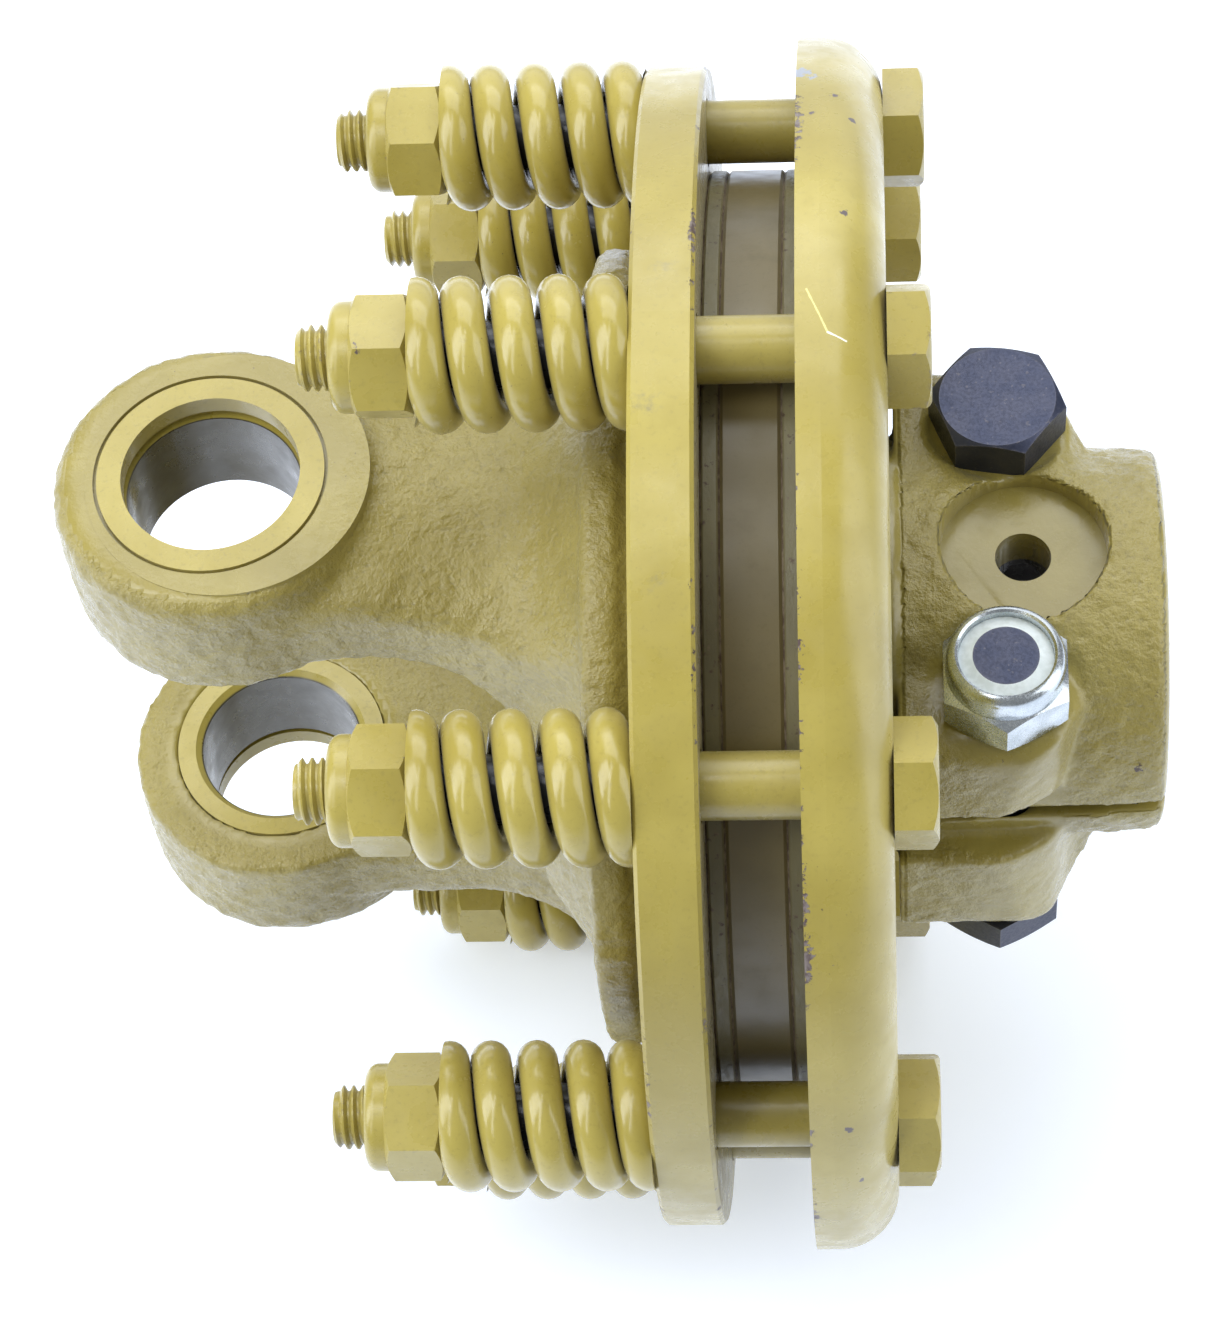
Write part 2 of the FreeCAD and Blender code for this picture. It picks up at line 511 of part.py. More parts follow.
def spline_bore_tool():
    """Solid in the shape of the six-spline shaft, long enough to cut the whole bore."""
    left = NOSE_END_X - OVERSHOOT
    length = OVERSHOOT - left
    shaft = Part.makeCylinder(SPLINE_MINOR_RADIUS, length, V(left, 0, 0), X_AXIS)
    for index in range(SPLINE_COUNT // 2):
        tooth = Part.makeBox(length, SPLINE_GROOVE_WIDTH, 2 * SPLINE_MAJOR_RADIUS + 4,
                             V(left, -SPLINE_GROOVE_WIDTH / 2, -SPLINE_MAJOR_RADIUS - 2))
        tooth.rotate(V(0, 0, 0), X_AXIS, 90.0 + 360.0 * index / SPLINE_COUNT)
        limit = Part.makeCylinder(SPLINE_MAJOR_RADIUS, length, V(left, 0, 0), X_AXIS)
        shaft = shaft.fuse(tooth.common(limit))
    return shaft


def make_clamp_hub():
    """Splined hub: nose, driving hexagon, barrel, four clamp lugs and a split collar."""
    hub = cylinder_x(NOSE_RADIUS, NOSE_END_X, HEX_LEFT)
    hub = hub.fuse(hexagon_prism(HEX_FLATS, V(HEX_LEFT, 0, 0), X_AXIS, HEX_RIGHT - HEX_LEFT, Z_AXIS))
    hub = hub.fuse(cylinder_x(BARREL_RADIUS, HEX_RIGHT, LUG_LEFT_X))
    collar_start = V(LUG_LEFT_X, 0, 0)
    collar = Part.makeCone(COLLAR_RADIUS + 0.9, COLLAR_RADIUS - 0.6, -LUG_LEFT_X, collar_start, X_AXIS)
    mouth_edge = max(collar.Edges, key=lambda edge: edge.CenterOfMass.x)
    hub = hub.fuse(collar.makeFillet(COLLAR_EDGE_RADIUS, [mouth_edge]))
    for y_side, z_side, top in ((1, 1, UPPER_HEAD_LUG_TOP), (-1, 1, NUT_SEAT),
                                (-1, -1, LOWER_HEAD_LUG_TOP), (1, -1, NUT_SEAT)):
        hub = hub.fuse(make_lug(y_side, z_side, top))
    hub = hub.cut(spline_bore_tool())
    slot_length = OVERSHOOT - LUG_LEFT_X + 2.0
    hub = hub.cut(Part.makeBox(slot_length, 2 * LUG_HALF_WIDTH + 2, SLOT_WIDTH,
                               V(LUG_LEFT_X - 2.0, -LUG_HALF_WIDTH - 1, -SLOT_DROP - SLOT_WIDTH / 2)))
    for y_side in (1, -1):
        bottom = V(CLAMP_BOLT_X, y_side * CLAMP_BOLT_Y, -2 * LUG_HALF_WIDTH)
        hub = hub.cut(Part.makeCylinder(CLAMP_HOLE_RADIUS, 4 * LUG_HALF_WIDTH, bottom, Z_AXIS))
        for z_side in (1, -1):
            seat = V(CLAMP_BOLT_X, y_side * CLAMP_BOLT_Y, z_side * clamp_seat(y_side, z_side))
            hub = hub.cut(Part.makeCylinder(SEAT_RADIUS, 20, seat, Z_AXIS * z_side))
    hub = hub.cut(Part.makeCylinder(SPOT_FACE_RADIUS, 20, V(SPOT_FACE_X, 0, SPOT_FACE_Z), Z_AXIS))
    hole_length = SPOT_FACE_Z + OVERSHOOT
    hub = hub.cut(Part.makeCylinder(SPOT_HOLE_RADIUS, hole_length, V(SPOT_FACE_X, 0, 0), Z_AXIS))
    return hub.removeSplitter()


def clamp_seat(y_side, z_side):
    """Height of the bolt or nut seat on one of the four lugs, from the split plane."""
    if y_side == z_side:
        return UPPER_HEAD_SEAT if z_side > 0 else LOWER_HEAD_SEAT
    return NUT_SEAT


def make_clamp_bolt(side):
    """Clamp bolt; its head is on the +Z lug for side 1 and on the -Z lug for side -1."""
    seat = V(CLAMP_BOLT_X, side * CLAMP_BOLT_Y, side * clamp_seat(side, side))
    turn = math.radians(UPPER_HEAD_TURN if side > 0 else 0.0)
    flat_towards = V(math.cos(turn), math.sin(turn), 0)
    return hexagon_bolt(M12_SHANK, M12_FLATS, M12_HEAD_HEIGHT, CLAMP_BOLT_LENGTH,
                        seat, Z_AXIS * side, flat_towards)


def make_clamp_nut(side):
    """Locking nut on the clamp bolt of the same side."""
    seat = V(CLAMP_BOLT_X, side * CLAMP_BOLT_Y, -side * clamp_seat(side, -side))
    nut = locking_nut(M12_FLATS, M12_NUT_HEIGHT, M12_COLLAR_DIAMETER, M12_NUT_HEIGHT * M12_COLLAR_SHARE,
                      seat, Z_AXIS * -side, X_AXIS)
    return bored(nut, M12_SHANK, M12_NUT_HEIGHT, seat, Z_AXIS * -side)


def make_parts():
    """Build every piece, keyed by its node name."""
    pieces = {
        "clamp_hub": make_clamp_hub(),
        "drive_plate": make_drive_plate(),
        "friction_lining_yoke_side": make_lining(LINING_1_LEFT, DRIVE_PLATE_LEFT),
        "friction_lining_cup_side": make_lining(DRIVE_PLATE_RIGHT, LINING_2_RIGHT),
        "pressure_ring": ring_x(STACK_RADIUS, PRESSURE_RING_INNER_RADIUS,
                                PRESSURE_RING_LEFT, CUP_INNER_FACE),
        "pressure_cup": make_pressure_cup(),
        "yoke_plate": make_yoke_plate(),
        "flange_yoke": make_flange_yoke(),
        "hub_bearing_bush": ring_x(BEARING_OUTER_RADIUS, NOSE_RADIUS + NOSE_RUNNING_CLEARANCE,
                                   BEARING_LEFT_X, BEARING_RIGHT_X),
        "ear_bush_near": make_ear_bush(1),
        "ear_bush_far": make_ear_bush(-1),
        "clamp_bolt_upper": make_clamp_bolt(1),
        "clamp_bolt_lower": make_clamp_bolt(-1),
        "clamp_nut_upper": make_clamp_nut(1),
        "clamp_nut_lower": make_clamp_nut(-1),
    }
    spring = make_spring()
    for number, angle in enumerate(bolt_angles(), start=1):
        seat = on_bolt_circle(angle, CUP_RIGHT)
        pieces["spring_bolt_%d" % number] = hexagon_bolt(
            M10_SHANK, M10_FLATS, M10_HEAD_HEIGHT, SPRING_BOLT_LENGTH, seat, X_AXIS,
            flat_direction(HEAD_CORNER_DEGREES[number - 1]))
        nut_seat = on_bolt_circle(angle, PLATE_LEFT - SPRING_LENGTH)
        nut = locking_nut(M10_FLATS, M10_NUT_HEIGHT, M10_COLLAR_DIAMETER, M10_NUT_HEIGHT * M10_COLLAR_SHARE,
                          nut_seat, X_AXIS * -1, flat_direction(NUT_CORNER_DEGREES[number - 1]))
        pieces["spring_nut_%d" % number] = bored(nut, M10_SHANK, M10_NUT_HEIGHT, nut_seat, X_AXIS * -1)
        placed = spring.copy()
        placed.translate(nut_seat)
        pieces["coil_spring_%d" % number] = placed
    return pieces


os.makedirs("parts", exist_ok=True)
for node, shape in make_parts().items():
    shape.exportStep("parts/%s.step" % node)
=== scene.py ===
"""Friction slip clutch with a flange yoke and a clamp hub: finishes, fine pieces, light and camera."""
import logging
import math
from collections.abc import Callable
from dataclasses import dataclass
from enum import Enum

import bmesh
import bpy
from mathutils import Matrix, Vector, noise


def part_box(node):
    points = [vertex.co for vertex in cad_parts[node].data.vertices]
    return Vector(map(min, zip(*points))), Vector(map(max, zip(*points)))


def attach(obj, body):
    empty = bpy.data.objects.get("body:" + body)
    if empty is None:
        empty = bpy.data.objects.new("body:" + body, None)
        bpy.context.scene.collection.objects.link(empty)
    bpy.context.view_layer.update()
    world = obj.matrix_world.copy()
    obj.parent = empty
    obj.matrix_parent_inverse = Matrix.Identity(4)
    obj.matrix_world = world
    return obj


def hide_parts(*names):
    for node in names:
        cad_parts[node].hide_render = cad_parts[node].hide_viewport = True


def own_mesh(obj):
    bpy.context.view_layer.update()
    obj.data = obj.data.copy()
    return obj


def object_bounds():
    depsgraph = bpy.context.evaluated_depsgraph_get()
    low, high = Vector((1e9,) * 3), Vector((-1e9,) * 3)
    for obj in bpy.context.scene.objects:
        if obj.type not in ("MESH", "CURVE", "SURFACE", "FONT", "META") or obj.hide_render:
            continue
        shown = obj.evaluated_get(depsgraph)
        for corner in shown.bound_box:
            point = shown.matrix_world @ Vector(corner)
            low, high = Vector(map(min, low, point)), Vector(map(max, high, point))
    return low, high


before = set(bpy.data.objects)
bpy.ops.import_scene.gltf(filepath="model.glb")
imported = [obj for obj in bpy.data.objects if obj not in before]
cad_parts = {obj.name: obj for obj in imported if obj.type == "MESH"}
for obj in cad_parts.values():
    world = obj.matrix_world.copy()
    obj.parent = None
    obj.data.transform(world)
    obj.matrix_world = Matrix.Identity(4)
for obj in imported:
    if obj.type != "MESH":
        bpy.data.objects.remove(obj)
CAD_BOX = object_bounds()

LOG = logging.getLogger("slip_clutch")
MM = 0.001
TURN = 2 * math.pi
Colour = tuple[float, float, float]
Socket = bpy.types.NodeSocket
Point = tuple[float, float]
Triple = tuple[float, float, float]


class Slot(Enum):
    """The record's material slots."""

    CASTING = "casting_paint"
    PLATE = "plate_paint"
    SHEET = "sheet_paint"
    SPRING = "spring_paint"
    HARDWARE = "hardware_paint"
    STACK = "stack_paint"
    BUSH = "bush_paint"
    LINING = "friction_lining"
    BRONZE = "bearing_bronze"
    BLACK = "black_oxide"
    ZINC = "zinc_plate"


class Body(Enum):
    """The bodies that move as one."""

    HUB = "hub_group"
    YOKE = "yoke_group"
    CLAMPING = "clamping_group"


class NodeBoard:
    """Lays out the nodes of one material."""

    def __init__(self, name: str) -> None:
        """Starts a material with a plain shader.

        Args:
            name: The material's name.
        """
        self.material = bpy.data.materials.new(name)
        self.material.use_nodes = True
        self.tree = self.material.node_tree
        self.shader = self.tree.nodes["Principled BSDF"]
        self.place = self.add("ShaderNodeTexCoord").outputs["Object"]

    def add(self, kind: str, **settings: object) -> bpy.types.Node:
        """Adds one node.

        Args:
            kind: The node's type name.
            settings: Properties set on the node.

        Returns:
            The new node.
        """
        node = self.tree.nodes.new(kind)
        for key, value in settings.items():
            setattr(node, key, value)
        return node

    def feed(self, node: bpy.types.Node, socket: str | int, value: Socket | float | Colour) -> None:
        """Links a socket into a node's input, or sets the input to a plain value.

        Args:
            node: The node that receives.
            socket: The input's name or number.
            value: A socket, a number or a colour.
        """
        target = node.inputs[socket]
        if isinstance(value, bpy.types.NodeSocket):
            self.tree.links.new(value, target)
        elif isinstance(value, tuple) and len(value) == 3 and target.type == "RGBA":
            target.default_value = (*value, 1.0)
        else:
            target.default_value = value

    def calc(self, operation: str, first: Socket | float, second: Socket | float = 0.0) -> Socket:
        """Joins two numbers by one arithmetic operation.

        Args:
            operation: The Math node's operation.
            first: The first number.
            second: The second number.

        Returns:
            The result's socket.
        """
        node = self.add("ShaderNodeMath", operation=operation)
        self.feed(node, 0, first)
        if len(node.inputs) > 1:
            self.feed(node, 1, second)
        return node.outputs[0]

    def speckle(self, size: float, detail: float = 2.0, roughness: float = 0.5,
                stretch: Vector | None = None) -> Socket:
        """Noise with a chosen grain.

        Args:
            size: Grain size in metres.
            detail: Octaves of finer grain.
            roughness: Share of the finer octaves.
            stretch: Scale of the pattern along each axis.

        Returns:
            The noise value, about 0.5 in the middle.
        """
        vector = self.place
        if stretch is not None:
            mapping = self.add("ShaderNodeMapping")
            mapping.inputs["Scale"].default_value = stretch
            self.feed(mapping, "Vector", vector)
            vector = mapping.outputs["Vector"]
        node = self.add("ShaderNodeTexNoise")
        self.feed(node, "Vector", vector)
        self.feed(node, "Scale", 1.0 / size)
        self.feed(node, "Detail", detail)
        self.feed(node, "Roughness", roughness)
        return node.outputs["Fac"]

    def step(self, value: Socket, low: float, high: float, out_low: float = 0.0,
             out_high: float = 1.0) -> Socket:
        """Maps a value smoothly from one range onto another.

        Args:
            value: The value to map.
            low: Where the output starts to change.
            high: Where the output stops changing.
            out_low: Output at low.
            out_high: Output at high.

        Returns:
            The mapped value.
        """
        node = self.add("ShaderNodeMapRange", interpolation_type="SMOOTHSTEP")
        self.feed(node, "Value", value)
        limits = {"From Min": low, "From Max": high, "To Min": out_low, "To Max": out_high}
        for name, number in limits.items():
            self.feed(node, name, number)
        return node.outputs["Result"]

    def blend(self, share: Socket | float, first: Socket | Colour, second: Socket | Colour) -> Socket:
        """Mixes two colours.

        Args:
            share: Share of the second colour.
            first: The first colour.
            second: The second colour.

        Returns:
            The mixed colour.
        """
        node = self.add("ShaderNodeMix", data_type="RGBA", clamp_factor=True)
        self.feed(node, 0, share)
        self.feed(node, 6, first)
        self.feed(node, 7, second)
        return node.outputs[2]

    def relief(self, height: Socket, depth: float, under: Socket | None = None) -> Socket:
        """Turns a height value into a bumped normal.

        Args:
            height: The height value.
            depth: Height in metres that a value of 1 stands for.
            under: A normal to add to.

        Returns:
            The normal.
        """
        node = self.add("ShaderNodeBump")
        self.feed(node, "Strength", 1.0)
        self.feed(node, "Distance", depth)
        self.feed(node, "Height", height)
        if under is not None:
            self.feed(node, "Normal", under)
        return node.outputs["Normal"]

    def hypotenuse(self, first: Socket, second: Socket) -> Socket:
        """Length of the straight way across two steps that are square to each other."""
        squares = self.calc("ADD", self.calc("MULTIPLY", first, first), self.calc("MULTIPLY", second, second))
        return self.calc("SQRT", squares)

    def radius_about(self, x: float | None = None) -> Socket:
        """Distance from the main axis, or from an upright axis through a point on the main axis.

        Args:
            x: Where the upright axis stands, or None for the main axis.

        Returns:
            The distance in metres.
        """
        parts = self.add("ShaderNodeSeparateXYZ")
        self.feed(parts, 0, self.place)
        other = parts.outputs[2] if x is None else self.calc("SUBTRACT", parts.outputs[0], x)
        return self.hypotenuse(other, parts.outputs[1])

    def along(self, axis: int) -> Socket:
        """One coordinate of the shaded point, 0 for X, 1 for Y and 2 for Z."""
        parts = self.add("ShaderNodeSeparateXYZ")
        self.feed(parts, 0, self.place)
        return parts.outputs[axis]

    def rim(self, x: float, radius: float, width: float) -> Socket:
        """Closeness to a circle about the main axis.

        Args:
            x: The circle's place on the main axis.
            radius: The circle's radius.
            width: Distance at which the closeness falls to 0.

        Returns:
            1 on the circle, falling to 0.
        """
        across = self.calc("SUBTRACT", self.along(0), x)
        out = self.calc("SUBTRACT", self.radius_about(), radius)
        return self.step(self.hypotenuse(across, out), 0.0, width, 1.0, 0.0)

    def near_line(self, start: Vector, end: Vector) -> Socket:
        """Distance from the shaded point to a short straight line.

        Args:
            start: One end of the line.
            end: Its other end.

        Returns:
            The distance in metres.
        """
        span = end - start
        offset = self.add("ShaderNodeVectorMath", operation="SUBTRACT")
        self.feed(offset, 0, self.place)
        self.feed(offset, 1, start)
        share: Socket | float = 0.0
        if span.length > 0:
            along = self.add("ShaderNodeVectorMath", operation="DOT_PRODUCT")
            self.feed(along, 0, offset.outputs["Vector"])
            self.feed(along, 1, span / span.length_squared)
            share = self.calc("MINIMUM", self.calc("MAXIMUM", along.outputs["Value"], 0.0), 1.0)
        foot = self.add("ShaderNodeVectorMath", operation="SCALE")
        self.feed(foot, 0, span)
        self.feed(foot, "Scale", share)
        gap = self.add("ShaderNodeVectorMath", operation="DISTANCE")
        self.feed(gap, 0, offset.outputs["Vector"])
        self.feed(gap, 1, foot.outputs["Vector"])
        return gap.outputs["Value"]

    def worn_corners(self, width: float) -> Socket:
        """Where the surface turns sharply within a given width, from 0 to 1."""
        rounded = self.add("ShaderNodeBevel", samples=4)
        self.feed(rounded, "Radius", width)
        plain = self.add("ShaderNodeNewGeometry")
        product = self.add("ShaderNodeVectorMath", operation="DOT_PRODUCT")
        self.feed(product, 0, rounded.outputs[0])
        self.feed(product, 1, plain.outputs["Normal"])
        return self.step(product.outputs["Value"], 0.99, 0.90)


@dataclass(frozen=True)
class WearLine:
    """A circle about the main axis along which the paint is knocked off."""

    x: float
    radius: float
    width: float


@dataclass(frozen=True)
class Nick:
    """A spot or a scratch where the paint is marked, in one colour."""

    start: Vector
    width: float
    tone: Colour
    end: Vector | None = None
    ragged: float = 1.0
    softness: float = 0.25

    def cover(self, board: NodeBoard) -> Socket:
        """Where the mark is, from 0 to 1.

        Args:
            board: The material's board.

        Returns:
            The mark's share.
        """
        distance = board.near_line(self.start, self.end or self.start)
        rough = board.calc("SUBTRACT", board.speckle(1.1 * MM, 4.0, 0.65), 0.5)
        edge = board.calc("ADD", distance, board.calc("MULTIPLY", rough, self.ragged * self.width * 4.5))
        return board.step(edge, self.width, self.width * (1 - self.softness), 0.0, 1.0)


@dataclass(frozen=True)
class Enamel:
    """Ochre gloss machine enamel over a casting, a plate, a pressing or hardware."""

    slot: Slot
    tone: Colour = (0.400, 0.325, 0.070)
    shade: Colour = (0.310, 0.245, 0.042)
    pit: Colour = (0.13, 0.105, 0.03)
    sheen_low: float = 0.24
    sheen_high: float = 0.42
    grain: float = 0.8 * MM
    grain_depth: float = 0.015 * MM
    peel: float = 4.0 * MM
    peel_depth: float = 0.04 * MM
    dust: float = 0.15
    chips: float = 0.30
    wear: tuple[WearLine, ...] = ()
    corner_wear: float = 0.0
    smooth_attribute: bool = False
    bare_bore_x: float | None = None
    bare_bore_radius: float = 0.0
    nicks: tuple[Nick, ...] = ()
    shadow: tuple[float, float] | None = None
    painted_inner_shade: bool = False
    core_shade_radius: float = 0.0

    def build(self) -> bpy.types.Material:
        """Makes the material.

        Returns:
            The finished material.
        """
        board = NodeBoard(self.slot.value)
        cloud = board.speckle(26 * MM, 3.0)
        mottle = board.speckle(5 * MM, 4.0, 0.6)
        grain = board.speckle(self.grain, 4.0, 0.62)
        peel = board.speckle(self.peel, 2.0)
        paint = board.blend(board.step(cloud, 0.30, 0.70), self.tone, self.shade)
        paint = board.blend(board.step(mottle, 0.52, 0.75, 0.0, 0.35), paint, self.shade)
        pits = board.step(grain, 0.46, 0.30, 0.0, self.dust)
        cast: Socket | None = None
        if self.smooth_attribute:
            machined = board.add("ShaderNodeAttribute", attribute_name="machined").outputs["Fac"]
            cast = board.step(machined, 0.0, 1.0, 1.0, 0.12)
            pits = board.calc("MULTIPLY", pits, cast)
        paint = board.blend(pits, paint, self.pit)
        dirt = board.step(board.speckle(0.7 * MM, 3.0, 0.6), 0.69, 0.74, 0.0, 0.85)
        patches = board.step(board.speckle(23 * MM, 3.0), 0.50, 0.64)
        paint = board.blend(board.calc("MULTIPLY", dirt, patches), paint, (0.07, 0.05, 0.03))
        chipped = self._chipped(board)
        primer = board.step(chipped, 0.05, 0.35)
        core = board.step(chipped, 0.35, 0.75)
        rust = board.blend(board.step(board.speckle(1.6 * MM, 3.0), 0.40, 0.62), (0.075, 0.045, 0.038),
                           (0.20, 0.165, 0.15))
        colour = board.blend(primer, paint, (0.20, 0.145, 0.05))
        colour = board.blend(core, colour, rust)
        sheen = board.step(mottle, 0.35, 0.70, self.sheen_low, self.sheen_high)
        sheen = board.calc("ADD", sheen, board.calc("MULTIPLY", core, 0.25))
        for nick in self.nicks:
            colour = board.blend(nick.cover(board), colour, nick.tone)
        if self.shadow is not None:
            left, right = self.shadow
            inside = board.calc("MULTIPLY", board.step(board.along(0), left, left + 0.4 * MM),
                                board.step(board.along(0), right, right - 0.4 * MM))
            colour = board.blend(inside, colour, (0.016, 0.015, 0.014))
        # painted shade: everything nearer the main axis than this radius, the hub's bore and the hole that
        # leads down into it, is coloured near black
        if self.core_shade_radius:
            inside = board.step(board.radius_about(), self.core_shade_radius, self.core_shade_radius - 0.3 * MM)
            colour = board.blend(inside, colour, (0.050, 0.047, 0.045))
        # painted shade: the flagged inside of each spring's coil is coloured near black, standing in for the
        # shade between the coils
        if self.painted_inner_shade:
            inner = board.add("ShaderNodeAttribute", attribute_name="inner").outputs["Fac"]
            colour = board.blend(board.step(inner, 0.25, 0.75), colour, (0.016, 0.015, 0.012))
        if self.bare_bore_x is not None:
            bore = board.step(board.radius_about(self.bare_bore_x), self.bare_bore_radius + 0.25 * MM,
                              self.bare_bore_radius - 0.05 * MM)
            smear = board.step(board.speckle(9 * MM, 3.0, 0.55), 0.35, 0.70)
            steel = board.blend(smear, (0.105, 0.100, 0.088), (0.075, 0.068, 0.052))
            colour = board.blend(bore, colour, steel)
            board.feed(board.shader, "Metallic", board.calc("MULTIPLY", bore, 0.75))
        board.feed(board.shader, "Base Color", colour)
        board.feed(board.shader, "Roughness", sheen)
        board.feed(board.shader, "Sheen Weight", 0.10)
        board.feed(board.shader, "Sheen Roughness", 0.5)
        board.feed(board.shader, "Coat Weight", 0.22)
        board.feed(board.shader, "Coat Roughness", 0.20)
        self._relief(board, grain, peel, cast, core)
        return board.material

    def _chipped(self, board: NodeBoard) -> Socket:
        """Where the paint is gone, from 0 to 1.

        Args:
            board: The material's board.

        Returns:
            The chip value.
        """
        edge: Socket | float = 0.0
        for line in self.wear:
            edge = board.calc("MAXIMUM", edge, board.rim(line.x, line.radius, line.width))
        if self.corner_wear:
            corners = board.calc("MULTIPLY", board.worn_corners(0.9 * MM), self.corner_wear)
            edge = board.calc("MAXIMUM", edge, corners)
        ragged = board.speckle(1.5 * MM, 6.0, 0.72)
        region = board.speckle(24 * MM, 3.0, 0.6)
        mixed = board.calc("ADD", board.calc("MULTIPLY", ragged, 0.50), board.calc("MULTIPLY", region, 0.50))
        pushed = board.calc("ADD", mixed, board.calc("MULTIPLY", edge, 0.13))
        threshold = 0.72 - 0.10 * self.chips
        return board.step(pushed, threshold, threshold + 0.03)

    def _relief(self, board: NodeBoard, grain: Socket, peel: Socket, cast: Socket | None,
                core: Socket) -> None:
        """Adds the paint's surface relief.

        Args:
            board: The material's board.
            grain: The fine grain.
            peel: The soft ripple.
            cast: Share of casting grain, or None where it is even.
            core: Where the paint is gone.
        """
        if cast is not None:
            grain = board.calc("MULTIPLY", grain, cast)
            peel = board.calc("MULTIPLY", peel, cast)
        normal = board.relief(peel, self.peel_depth)
        normal = board.relief(grain, self.grain_depth, normal)
        normal = board.relief(board.calc("MULTIPLY", core, -1.0), 0.08 * MM, normal)
        board.feed(board.shader, "Normal", normal)
        board.feed(board.shader, "Coat Normal", normal)


@dataclass(frozen=True)
class Metal:
    """Bare, plated or blackened metal."""

    slot: Slot
    tone: Colour
    stain: Colour
    metallic: float
    sheen_low: float
    sheen_high: float
    grain: float
    grain_depth: float
    fleck: float = 0.0

    def build(self) -> bpy.types.Material:
        """Makes the material.

        Returns:
            The finished material.
        """
        board = NodeBoard(self.slot.value)
        cloud = board.speckle(6 * MM, 4.0, 0.6)
        grain = board.speckle(self.grain, 4.0, 0.6)
        colour = board.blend(board.step(cloud, 0.38, 0.66), self.tone, self.stain)
        worn = board.calc("MULTIPLY", board.worn_corners(0.6 * MM), board.step(grain, 0.40, 0.60, 0.2, 1.0))
        colour = board.blend(board.calc("MULTIPLY", worn, 0.35), colour, (0.28, 0.26, 0.25))
        flecks = board.step(board.speckle(0.8 * MM, 1.0), 0.68, 0.74, 0.0, self.fleck)
        colour = board.blend(flecks, colour, (0.35, 0.30, 0.24))
        board.feed(board.shader, "Base Color", colour)
        board.feed(board.shader, "Metallic", self.metallic)
        board.feed(board.shader, "Roughness", board.step(grain, 0.35, 0.65, self.sheen_low, self.sheen_high))
        board.feed(board.shader, "Normal", board.relief(grain, self.grain_depth))
        return board.material


@dataclass(frozen=True)
class Lining:
    """Pressed friction lining: dark brown fibre with pale flecks and paint overspray on its rim."""

    slot: Slot = Slot.LINING
    rim_radius: float = 76.3 * MM

    def build(self) -> bpy.types.Material:
        """Makes the material.

        Returns:
            The finished material.
        """
        board = NodeBoard(self.slot.value)
        fibre = board.speckle(0.9 * MM, 4.0, 0.7, Vector((1.0, 0.45, 0.45)))
        body = board.blend(board.step(fibre, 0.40, 0.62), (0.085, 0.055, 0.035), (0.20, 0.155, 0.10))
        spray = board.step(board.radius_about(), self.rim_radius, self.rim_radius + 0.3 * MM)
        spray = board.calc("MULTIPLY", spray, board.step(board.speckle(1.2 * MM, 4.0, 0.6), 0.30, 0.42))
        sprayed = board.blend(board.step(board.speckle(14 * MM, 3.0), 0.3, 0.7), (0.200, 0.175, 0.085),
                              (0.150, 0.130, 0.065))
        board.feed(board.shader, "Base Color", board.blend(spray, body, sprayed))
        dull = board.step(fibre, 0.3, 0.7, 0.55, 0.80)
        board.feed(board.shader, "Roughness", board.calc("SUBTRACT", dull, board.calc("MULTIPLY", spray, 0.25)))
        board.feed(board.shader, "Normal", board.relief(fibre, 0.10 * MM))
        return board.material


@dataclass(frozen=True)
class Nylon:
    """The pale locking ring of a self-locking nut."""

    name: str = "nylon_ring"

    def build(self) -> bpy.types.Material:
        """Makes the material.

        Returns:
            The finished material.
        """
        board = NodeBoard(self.name)
        cloud = board.speckle(1.5 * MM, 3.0)
        tone = board.blend(board.step(cloud, 0.3, 0.7), (0.74, 0.80, 0.82), (0.60, 0.66, 0.66))
        board.feed(board.shader, "Base Color", tone)
        board.feed(board.shader, "Roughness", board.step(cloud, 0.3, 0.7, 0.30, 0.42))
        board.feed(board.shader, "Subsurface Weight", 0.15)
        board.feed(board.shader, "Subsurface Radius", (0.0008, 0.0009, 0.001))
        board.feed(board.shader, "Normal", board.relief(cloud, 0.03 * MM))
        return board.material


